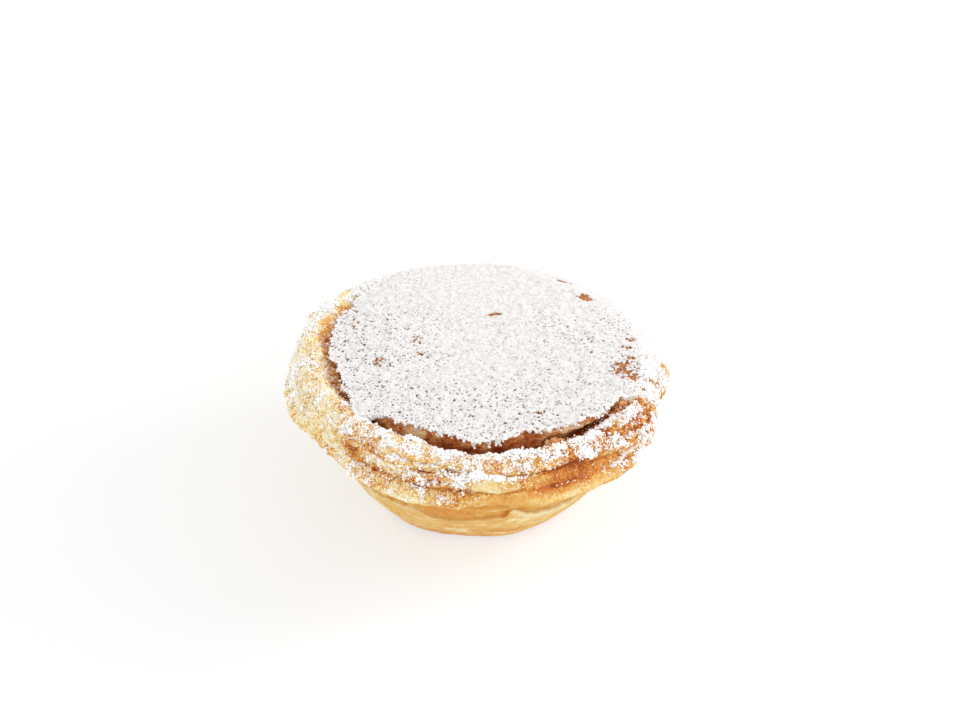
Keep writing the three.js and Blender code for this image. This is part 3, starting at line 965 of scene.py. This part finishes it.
# The forms of a lump, with twenty faces, and of a grain, with six.
ICO = (1 + math.sqrt(5)) / 2
LUMP_POINTS = np.array([
    (-1, ICO, 0), (1, ICO, 0), (-1, -ICO, 0), (1, -ICO, 0), (0, -1, ICO), (0, 1, ICO),
    (0, -1, -ICO), (0, 1, -ICO), (ICO, 0, -1), (ICO, 0, 1), (-ICO, 0, -1), (-ICO, 0, 1),
]) / math.hypot(1, ICO)
LUMP_FACES = np.array([
    (0, 11, 5), (0, 5, 1), (0, 1, 7), (0, 7, 10), (0, 10, 11), (1, 5, 9), (5, 11, 4), (11, 10, 2), (10, 7, 6),
    (7, 1, 8), (3, 9, 4), (3, 4, 2), (3, 2, 6), (3, 6, 8), (3, 8, 9), (4, 9, 5), (2, 4, 11), (6, 2, 10),
    (8, 6, 7), (9, 8, 1),
])
GRAIN_POINTS = np.array([(1, 0, 0), (-0.5, 0.87, 0), (-0.5, -0.87, 0), (0, 0, 1), (0, 0, -1)])
GRAIN_FACES = np.array([(0, 1, 3), (1, 2, 3), (2, 0, 3), (1, 0, 4), (2, 1, 4), (0, 2, 4)])
GRAIN = (GRAIN_POINTS, GRAIN_FACES)
LUMP = (LUMP_POINTS, LUMP_FACES)


def random_turns(count, draw):
    """Evenly random rotations, one matrix for each copy."""
    four = draw.normal(size=(count, 4))
    four /= np.linalg.norm(four, axis=1, keepdims=True)
    w, x, y, z = four.T
    return np.stack([
        np.stack([1 - 2 * (y * y + z * z), 2 * (x * y - w * z), 2 * (x * z + w * y)], axis=-1),
        np.stack([2 * (x * y + w * z), 1 - 2 * (x * x + z * z), 2 * (y * z - w * x)], axis=-1),
        np.stack([2 * (x * z - w * y), 2 * (y * z + w * x), 1 - 2 * (x * x + y * y)], axis=-1),
    ], axis=1)


def make_lumps(name, places, sizes, form, material, draw, values=None, smooth=True):
    """One mesh of many small uneven lumps, each at its place and of its size."""
    shape, faces = form
    count = len(places)
    stretch = draw.uniform(0.7, 1.25, size=(count, 1, 3))
    apart = draw.uniform(-500, 500, size=(count, 1, 3))
    jagged = draw.uniform(-0.1, 0.1, (count, len(shape), 1))
    dents = 1 + 0.34 * noise(shape[None] + apart, 0.8, 151)[..., None] + jagged
    local = shape[None] * dents * stretch * np.asarray(sizes).reshape(-1, 1, 1) / 2
    turned = np.einsum("nij,nkj->nki", random_turns(count, draw), local)
    points = (turned + places[:, None]).reshape(-1, 3)
    offsets = (np.arange(count) * len(shape))[:, None, None]
    spread = {key: np.repeat(numbers, len(shape)) for key, numbers in (values or {}).items()}
    triangles = (faces[None] + offsets).reshape(-1, 3)
    make_piece(name, points, (triangles,), material, spread, smooth)


class SkyMap:
    """The highest surface over each place, seen from straight above, to tell where sugar can fall."""

    CELL = 0.3
    REACH = 44

    def __init__(self, clouds):
        cells = int(2 * self.REACH / self.CELL) + 1
        self.top = np.full((cells, cells), -1.0)
        for cloud in clouds:
            ix, iy = self.cell_of(cloud)
            np.maximum.at(self.top, (ix, iy), cloud[:, 2])

    def cell_of(self, points):
        place = ((points[:, :2] + self.REACH) / self.CELL).astype(int)
        return place[:, 0], place[:, 1]

    def is_open(self, points, slack):
        ix, iy = self.cell_of(points)
        return points[:, 2] > self.top[ix, iy] - slack


def scatter(points, normals, weights, count, draw, spread):
    """Random places picked from a surface's points by weight, with their outward directions."""
    chosen = draw.choice(len(points), size=count, p=weights / weights.sum())
    jitter = draw.normal(scale=spread, size=(count, 3))
    normal = normals[chosen]
    jitter -= normal * np.sum(jitter * normal, axis=1, keepdims=True)
    return points[chosen] + jitter, normal


# How many heaps, lumps and grains of sugar there are, and their smallest and largest sizes.
HEAP_COUNT = 1050
HEAP_LUMPS = 8
GRAIN_COUNT = 32000
TOP_GRAIN_COUNT = 5000
LUMP_SIZES = (0.34, 0.7)
GRAIN_SIZES = (0.18, 0.44)
EDGE_GRAIN_SIZES = (0.25, 0.6)
TOP_GRAIN_SIZES = (0.2, 0.4)
RIM_SUGAR_SEED = 211
TOP_GRAIN_SEED = 307


def make_rim_sugar(pastry, sky, material):
    """Heaps of small lumps and loose grains of sugar on the rim, thickest on the lip and at the left."""
    draw = np.random.default_rng(RIM_SUGAR_SEED)
    up = pastry.normals[:, 2]
    falls = sky.is_open(pastry.points, 0.7)
    on_rim = (pastry.row > RIM_START_ROW) & (pastry.row < RIM_END_ROW)
    facing = falls * fade(up, -0.1, 0.7) + 0.1 * fade(up, -0.5, 0.1)
    heaped = outline_at(HEAPED, pastry.around)
    weight = on_rim * facing * heaped * fade(pastry.density, 0.3, 0.9)
    middles, normals = scatter(pastry.points, pastry.normals, weight, HEAP_COUNT, draw, 0.12)
    middles = np.repeat(middles, HEAP_LUMPS, axis=0)
    normals = np.repeat(normals, HEAP_LUMPS, axis=0)
    count = len(middles)
    aside = draw.normal(scale=0.5, size=(count, 3))
    aside -= normals * np.sum(aside * normals, axis=1, keepdims=True)
    near = bell(np.linalg.norm(aside, axis=1), 0, 0.45)
    sizes = draw.uniform(*LUMP_SIZES, count)
    lift = 0.08 + 0.28 * near * draw.uniform(0.3, 1, count)
    places = middles + aside + normals * lift[:, None]
    make_lumps("sugar_clumps", places, sizes, LUMP, material, draw, smooth=False)

    body = (pastry.row > BODY_START_ROW) & (pastry.row <= RIM_START_ROW)
    hazy = 0.12 * (1 - pastry.swirl) * (0.1 + pastry.rough)
    weight = on_rim * facing * (hazy + fade(pastry.density, 0.1, 0.8)) + body * falls * 0.008
    places, normals = scatter(pastry.points, pastry.normals, weight, GRAIN_COUNT, draw, 0.15)
    sizes = draw.uniform(*GRAIN_SIZES, GRAIN_COUNT)
    places = places + normals * sizes[:, None] * 0.2
    make_lumps("sugar_grains", places, sizes, GRAIN, material, draw, smooth=False)


def make_disc_grains(material):
    """Loose grains along the ragged edge of the sugar blanket, and a few on it."""
    draw = np.random.default_rng(TOP_GRAIN_SEED)
    count = TOP_GRAIN_COUNT
    share = np.sqrt(draw.uniform(0, 1, count))
    edge = draw.uniform(0, 1, count) < 0.45
    share = np.where(edge, draw.uniform(0.985, 1.008, count), share)
    ways = np.linspace(0, TURN, 3600)
    closed = bridge_share(np.degrees(ways))
    half_closed = 4 * closed * (1 - closed)
    weight = 1 + 14 * half_closed
    chosen = draw.choice(len(ways), size=count, p=weight / weight.sum())
    angle = np.where(edge, ways[chosen], 0) + draw.uniform(0, 1, count) * np.where(edge, 0.002, TURN)
    hang = 2.2 * half_closed[chosen] * draw.uniform(0, 1, count)
    radius = share * blanket_edge(angle)
    places = on_ring(radius, angle, blanket_height(radius, angle))
    depth, _, bare = sugar_relief(places)
    places[:, 2] += depth * np.where(edge, 0.55, 1) - hang * edge
    keep = bare < 0.3
    sizes = np.where(edge, draw.uniform(*EDGE_GRAIN_SIZES, count), draw.uniform(*TOP_GRAIN_SIZES, count))
    make_lumps("sugar_top_grains", places[keep], sizes[keep], LUMP, material, draw)


# Heaps of crumbs in the gap: the middle and the spread in degrees, how many crumbs, and how high they pile.
CRUMB_HEAPS = [
    (299, 2.6, 60, 0.8), (308, 6, 30, 0.4), (331, 1.5, 60, 1.2), (216, 3, 16, 0.6), (240, 35, 24, 0.2),
]
SMALLEST_CRUMB = 0.4
CRUMB_SIZE_RANGE = 1.3
CRUMB_SEED = 331


def make_crumbs(material):
    """Crumbs of the filling on the floor of the gap, most of them right of the front."""
    draw = np.random.default_rng(CRUMB_SEED)
    middles, spreads, counts, rises = zip(*CRUMB_HEAPS)
    count = sum(counts)
    rise = np.repeat(rises, counts)
    angle = np.radians(draw.normal(np.repeat(middles, counts), np.repeat(spreads, counts)))
    share = draw.uniform(0.25, 1.0, count)
    ledge = ledge_height(angle)
    slope_top = lip_top(angle) - LIP_ROUNDING
    radius = between(LEDGE_RADIUS, lip_inside(angle) - 0.3, share)
    height = between(ledge, slope_top, np.maximum(rise * draw.uniform(0.2, 1, count), 2 * share - 1))
    sizes = SMALLEST_CRUMB + CRUMB_SIZE_RANGE * draw.uniform(0, 1, count) ** 2
    places = on_ring(radius, angle, height)
    tone = {"tone": draw.uniform(0.35, 0.9, count)}
    make_lumps("filling_crumbs", places, sizes, LUMP, material, draw, tone, smooth=False)


def leaf_grid(radius, height, thick, angle):
    """A thin closed leaf of pastry. Radius and height have a row for each step outwards, over the angles."""
    top = on_ring(radius, angle, height + thick / 2)
    bottom = top - np.stack([0 * thick, 0 * thick, thick], axis=-1)
    out_steps, steps = radius.shape
    loop = np.concatenate([top, bottom[::-1]])
    rows = len(loop)
    row, step = np.meshgrid(np.arange(rows), np.arange(steps - 1), indexing="ij")
    here = row * steps + step
    up = ((row + 1) % rows) * steps + step
    quads = np.stack([here, up, up + 1, here + 1], axis=-1).reshape(-1, 4)
    middle = np.arange(out_steps - 1)
    ends = []
    for column, flip in ((0, False), (steps - 1, True)):
        a = middle * steps + column
        b = (middle + 1) * steps + column
        c = (rows - 2 - middle) * steps + column
        d = (rows - 1 - middle) * steps + column
        end = np.stack([a, d, c, b], axis=1)
        ends.append(end[:, ::-1] if flip else end)
    return loop.reshape(-1, 3), np.concatenate([quads, *ends])


# How many leaves there are, the row of each flake that they stand on, and where round the rim they may be, in
# degrees, with how likely each stretch is.
LEAF_COUNT = 26
LEAF_ROWS = [15, 19, 23]
LEAF_STRETCHES = [(-8, 80), (80, 200), (225, 262)]
LEAF_CHANCES = [0.55, 0.25, 0.2]
LEAF_REACH = 2.4
LEAF_ROUGHNESS = 0.6
LEAF_SEED = 401


def make_leaves(material):
    """Thin leaves of pastry that stand out a little from the rim's flakes, torn at their edges."""
    draw = np.random.default_rng(LEAF_SEED)
    points = []
    faces = []
    browns = []
    dusts = []
    used = 0
    for _ in range(LEAF_COUNT):
        flake = int(draw.integers(3))
        middles = [draw.uniform(*stretch) for stretch in LEAF_STRETCHES]
        middle = math.radians(draw.choice(middles, p=LEAF_CHANCES))
        half = math.radians(draw.uniform(4, 12))
        steps = max(14, int(half * 2 * RIM_RADIUS / LEAF_STEP))
        angle = middle + np.linspace(-half, half, steps)
        edge, low, high = flake_edge(flake, angle)
        height = between(low, high, draw.uniform(0.15, 1.05))
        height = height + 0.15 * ripple(angle, int(draw.integers(900)), 2, 9)
        across = np.linspace(0, 1, LEAF_RINGS)[:, None]
        arch = np.sqrt(np.clip(1 - ((angle - middle) / half) ** 2, 0, 1))
        reach = draw.uniform(0.1, 0.4) * arch + 0.4 * ragged(angle, int(draw.integers(5000)))
        outer = edge + (reach - 1.6 * (1 - arch) - 0.05)
        radius = between(outer - LEAF_REACH, outer, across)
        curl = draw.uniform(-0.3, 0.3)
        leaf_height = height + (across - 1) * draw.uniform(-0.1, 0.3) + curl * across**3
        thick = draw.uniform(0.12, 0.2) * (1 - 0.45 * across**2) * np.ones_like(angle)
        leaf_points, leaf_faces = leaf_grid(radius, leaf_height, thick, angle)
        points.append(leaf_points)
        faces.append(leaf_faces + used)
        used += len(leaf_points)
        around = np.tile(angle, 2 * LEAF_RINGS)
        row = np.full(len(around), float(LEAF_ROWS[flake]))
        local = spot_sum("brown", np.mod(np.degrees(around), 360), row)
        browns.append(outline_at(BROWN_RIM, around) + local + draw.uniform(-0.1, 0.1))
        sugar = outline_at(SUGAR_LIP if flake == 2 else SUGAR_FLAKES, around)
        dusts.append(np.clip(0.8 * sugar + 0.3 * noise(leaf_points, 1.2, 67), 0, 1))
    points = np.concatenate(points)
    rough = np.full(len(points), LEAF_ROUGHNESS)
    values = {"brown": np.concatenate(browns), "dust": np.concatenate(dusts), "rough": rough}
    make_piece("rim_leaves", points, (np.concatenate(faces),), material, values)
    return points


class Shader:
    """A material's node tree, built by short calls."""

    def __init__(self, name):
        self.material = bpy.data.materials.new(name)
        self.material.use_nodes = True
        self.tree = self.material.node_tree
        self.surface = self.tree.nodes["Principled BSDF"]

    def node(self, kind, links=None, **settings):
        made = self.tree.nodes.new(kind)
        for key, value in settings.items():
            setattr(made, key, value)
        for key, source in (links or {}).items():
            if isinstance(source, bpy.types.NodeSocket):
                self.tree.links.new(source, made.inputs[key])
            else:
                made.inputs[key].default_value = source
        return made

    def attribute(self, name):
        return self.node("ShaderNodeAttribute", attribute_name=name).outputs["Fac"]

    def place(self, stretch=(1, 1, 1)):
        """Object coordinates in millimetres, drawn out along each axis."""
        coordinates = self.node("ShaderNodeTexCoord").outputs["Object"]
        scale = tuple(1 / MM / value for value in stretch)
        return self.node("ShaderNodeMapping", {"Vector": coordinates, "Scale": scale}).outputs["Vector"]

    def noise(self, size, detail=3.0, stretch=(1, 1, 1)):
        links = {"Vector": self.place(stretch), "Scale": 1 / size, "Detail": detail, "Roughness": 0.6}
        return self.node("ShaderNodeTexNoise", links).outputs["Fac"]

    def dots(self, apart, low, high):
        """Small dots so far apart, 1 up to the low distance from their middles and 0 from the high one."""
        links = {"Vector": self.place(), "Scale": 1 / apart}
        away = self.node("ShaderNodeTexVoronoi", links).outputs["Distance"]
        return self.math("SUBTRACT", 1.0, self.step(away, low, high))

    def math(self, operation, first, second=0.0):
        return self.node("ShaderNodeMath", {0: first, 1: second}, operation=operation).outputs[0]

    def step(self, value, low, high):
        links = {"Value": value, "From Min": low, "From Max": high}
        return self.node("ShaderNodeMapRange", links, interpolation_type="SMOOTHSTEP").outputs["Result"]

    def ramp(self, value, stops):
        made = self.node("ShaderNodeValToRGB", {"Fac": value})
        elements = made.color_ramp.elements
        while len(elements) < len(stops):
            elements.new(0.5)
        for element, (position, colour) in zip(elements, stops):
            element.position = position
            element.color = linear(colour)
        return made.outputs["Color"]

    def mix(self, share, first, second):
        made = self.node("ShaderNodeMix", data_type="RGBA")
        for index, source in ((0, share), (6, first), (7, second)):
            if isinstance(source, bpy.types.NodeSocket):
                self.tree.links.new(source, made.inputs[index])
            else:
                made.inputs[index].default_value = source
        return made.outputs[2]

    def bump(self, height, distance, strength=1.0):
        links = {"Height": height, "Distance": distance * MM, "Strength": strength}
        normal = self.node("ShaderNodeBump", links).outputs["Normal"]
        self.tree.links.new(normal, self.surface.inputs["Normal"])

    def soften(self, weight, depth):
        """Let light into the surface, to this depth in millimetres for red, green and blue."""
        self.surface.inputs["Subsurface Weight"].default_value = weight
        self.surface.inputs["Subsurface Radius"].default_value = depth
        self.surface.inputs["Subsurface Scale"].default_value = MM

    def finish(self, colour, roughness, specular=0.3):
        self.tree.links.new(colour, self.surface.inputs["Base Color"])
        self.surface.inputs["Roughness"].default_value = roughness
        self.surface.inputs["Specular IOR Level"].default_value = specular
        return self.material


def linear(colour):
    """A colour given as red, green and blue from 0 to 255, as the shader wants it."""
    parts = [value / 255 for value in colour]
    linear_parts = [part / 12.92 if part <= 0.04045 else ((part + 0.055) / 1.055) ** 2.4 for part in parts]
    return (*linear_parts, 1.0)


# Colours as red, green and blue from 0 to 255, each tone with its place from 0 to 1.
SUGAR_WHITE = (251, 250, 248)
# Painted shade for the pits and dots in the sugar blanket.
PIT_SHADE = (98, 85, 80)
PASTRY_TONES = [
    (0.0, (246, 236, 200)),
    (0.22, (234, 212, 154)),
    (0.44, (223, 176, 96)),
    (0.62, (213, 146, 72)),
    (0.8, (196, 112, 50)),
    (1.0, (140, 66, 26)),
]
# The blanket's white, and the grey of its soft painted shade.
BLANKET_WHITES = [(0.28, (208, 204, 202)), (0.6, (233, 230, 228))]
CRUST_TONES = [(0.3, (116, 58, 30)), (0.7, (214, 150, 96))]
GRAIN_WHITES = [(0.3, (248, 246, 245)), (0.7, (254, 253, 252))]
FILLING_TONES = [
    (0.0, (158, 78, 38)),
    (0.3, (198, 118, 64)),
    (0.6, (228, 164, 104)),
    (1.0, (248, 214, 168)),
]


def centred(shader, value, by):
    """A noise value moved to swing round 0 by so much."""
    return shader.math("MULTIPLY", shader.math("SUBTRACT", value, 0.5), by)


def pastry_material():
    """Baked puff pastry: pale to brown by its own numbers, which also carry painted shade and highlights,
    with fine specks of sugar where it is dusted.
    """
    shader = Shader("baked puff pastry")
    streaks = shader.noise(2.6, 4, (1, 1, 0.3))
    patches = shader.noise(1.8, 4)
    specks = shader.noise(0.5, 2)
    tone = shader.math("ADD", shader.attribute("brown"), centred(shader, streaks, 0.24))
    tone = shader.math("ADD", tone, centred(shader, patches, 0.4))
    crumbly = shader.math("ADD", shader.math("MULTIPLY", shader.attribute("rough"), 1.8), 0.25)
    tone = shader.math("ADD", tone, shader.math("MULTIPLY", centred(shader, specks, 1.0), crumbly))
    pastry = shader.ramp(tone, PASTRY_TONES)
    cover = shader.math("ADD", shader.attribute("dust"), centred(shader, shader.noise(0.35, 2), 1.8))
    cover = shader.step(cover, 0.42, 0.78)
    bumps = shader.math("ADD", streaks, centred(shader, specks, 0.7))
    shader.bump(shader.math("MULTIPLY", bumps, shader.math("SUBTRACT", 1.0, cover)), 0.2, 0.6)
    shader.soften(0.1, (1.2, 0.7, 0.4))
    return shader.finish(shader.mix(cover, pastry, linear(SUGAR_WHITE)), 0.7, 0.2)


def filling_material():
    """Baked bean paste: caramel brown crumbs with darker hollows."""
    shader = Shader("baked bean paste")
    fine = shader.noise(0.55, 4)
    tone = shader.math("ADD", shader.attribute("tone"), centred(shader, fine, 1.3))
    shader.bump(fine, 0.3, 1.0)
    return shader.finish(shader.ramp(tone, FILLING_TONES), 0.7)


def blanket_material():
    """Icing sugar on the crust: matt white, with painted shade in its pits and dots, and brown where the
    crust is bare.
    """
    shader = Shader("icing sugar on the crust")
    fine = shader.noise(0.3, 2)
    # The white varies at random, and its greys stand in for soft shade between lumps: partly painted shade.
    soft = shader.math("ADD", shader.noise(1.2, 4), centred(shader, fine, 0.7))
    white = shader.ramp(soft, BLANKET_WHITES)
    # Small dark dots in crowded patches, with no hollow under them: painted shade between the grains.
    crowded = shader.step(shader.noise(2.6, 2), 0.28, 0.58)
    dots = shader.math("MULTIPLY", shader.dots(0.76, 0.16, 0.33), crowded)
    dots = shader.math("MULTIPLY", dots, shader.attribute("shade_dots"))
    # The pits get painted shade, and so do the dots.
    pit = shader.step(shader.math("ADD", shader.attribute("pit"), centred(shader, fine, 0.3)), 0.15, 0.9)
    pit = shader.math("MAXIMUM", pit, dots)
    crust = shader.ramp(shader.noise(0.6, 3), CRUST_TONES)
    bare = shader.math("ADD", shader.attribute("bare"), centred(shader, shader.noise(0.5, 2), 1.2))
    bare = shader.step(bare, 0.35, 0.6)
    colour = shader.mix(bare, shader.mix(pit, white, linear(PIT_SHADE)), crust)
    shader.bump(fine, 0.1, 0.5)
    return shader.finish(colour, 0.95, 0.1)


def sugar_material():
    """Icing sugar grains: matt white."""
    shader = Shader("icing sugar")
    fine = shader.noise(0.3, 2)
    colour = shader.ramp(fine, GRAIN_WHITES)
    return shader.finish(colour, 0.95, 0.1)


# The floor's half width in metres, its grey, and how much it glows at least and more towards the light.
FLOOR_REACH = 6.0
FLOOR_GREY = (0.33, 0.33, 0.33, 1)
FLOOR_GLOW = 0.604
FLOOR_GLOW_MORE = 0.1
WHITE = (1, 1, 1, 1)


def make_stage():
    """A plain white table that glows a little, as an overexposed one looks, with no edge in sight."""
    mesh = bpy.data.meshes.new("floor")
    corners = [(x * FLOOR_REACH, y * FLOOR_REACH, 0) for x, y in ((-1, -1), (1, -1), (1, 1), (-1, 1))]
    mesh.from_pydata(corners, [], [(0, 1, 2, 3)])
    shader = Shader("white floor")
    shader.surface.inputs["Base Color"].default_value = FLOOR_GREY
    shader.surface.inputs["Emission Color"].default_value = WHITE
    aside = shader.node("ShaderNodeSeparateXYZ", {"Vector": shader.place()})
    half_across = shader.math("MULTIPLY", aside.outputs["Y"], 0.5)
    towards_light = shader.math("SUBTRACT", aside.outputs["X"], half_across)
    glow = shader.math("MULTIPLY", shader.step(towards_light, -25, 34), FLOOR_GLOW_MORE)
    glow = shader.math("ADD", glow, FLOOR_GLOW)
    shader.tree.links.new(glow, shader.surface.inputs["Emission Strength"])
    shader.surface.inputs["Roughness"].default_value = 0.9
    shader.surface.inputs["Specular IOR Level"].default_value = 0.0
    mesh.materials.append(shader.material)
    floor = bpy.data.objects.new("floor", mesh)
    bpy.context.scene.collection.objects.link(floor)


# The soft boxes: name, azimuth and elevation in degrees, distance and size in metres, and power in watts.
LIGHTS = [("key", 16, 31, 0.9, 0.3, 2.6), ("fill", 262, 26, 1.2, 0.9, 0.9)]
ROOM_BRIGHTNESS = 1.06


def add_light(name, azimuth, elevation, distance, size, power):
    """A square soft box that looks at the tart. Azimuth 0 is at +X, and 90 behind the tart."""
    light = bpy.data.lights.new(name, "AREA")
    light.size = size
    light.energy = power
    holder = bpy.data.objects.new(name, light)
    a, e = math.radians(azimuth), math.radians(elevation)
    way = Vector((math.cos(a) * math.cos(e), math.sin(a) * math.cos(e), math.sin(e)))
    holder.location = way * distance + Vector((0, 0, 0.02))
    holder.rotation_mode = "QUATERNION"
    holder.rotation_quaternion = way.to_track_quat("Z", "Y")
    bpy.context.scene.collection.objects.link(holder)


def make_lights():
    """A white room, a soft key light from the right and a little behind, and a weak one from the front."""
    world = bpy.data.worlds.new("white room")
    world.use_nodes = True
    background = world.node_tree.nodes["Background"]
    background.inputs["Color"].default_value = WHITE
    background.inputs["Strength"].default_value = ROOM_BRIGHTNESS
    bpy.context.scene.world = world
    for light in LIGHTS:
        add_light(*light)
    settings = bpy.context.scene.view_settings
    settings.view_transform = "Standard"
    settings.look = "None"
    settings.exposure = 0
    settings.gamma = 1


# The camera's angle in degrees, its distance, lens and sensor in millimetres, and the image in pixels.
CAMERA_ELEVATION = 38.0
CAMERA_DISTANCE = 565.0
CAMERA_LENS = 100.0
SENSOR_WIDTH = 36.0
IMAGE_WIDTH = 960
IMAGE_HEIGHT = 721
ORIGIN_PIXEL = (479.0, 474.5)


def make_camera():
    """The camera at the photograph's angle, turned so that the origin falls where the photograph has it."""
    data = bpy.data.cameras.new("camera")
    data.lens = CAMERA_LENS
    data.sensor_width = SENSOR_WIDTH
    camera = bpy.data.objects.new("camera", data)
    pixels = IMAGE_WIDTH * CAMERA_LENS / SENSOR_WIDTH
    elevation = math.radians(CAMERA_ELEVATION)
    tilt = elevation - math.atan((ORIGIN_PIXEL[1] - IMAGE_HEIGHT / 2) / pixels)
    pan = math.atan((IMAGE_WIDTH / 2 - ORIGIN_PIXEL[0]) / pixels)
    camera.location = Vector((0, -math.cos(elevation), math.sin(elevation))) * CAMERA_DISTANCE * MM
    camera.rotation_euler = (math.pi / 2 - tilt, 0, -pan)
    data.clip_start = 0.01
    bpy.context.scene.collection.objects.link(camera)
    bpy.context.scene.camera = camera


def make_tart():
    crust = pastry_material()
    sugar = sugar_material()
    paste = filling_material()
    pastry = Pastry()
    make_case(pastry, crust)
    leaf_points = make_leaves(crust)
    filling_points = make_filling(paste)
    make_crumbs(paste)
    make_blanket(blanket_material())
    make_rim_sugar(pastry, SkyMap([pastry.points, leaf_points, filling_points]), sugar)
    make_disc_grains(sugar)


make_tart()
make_stage()
make_lights()
make_camera()
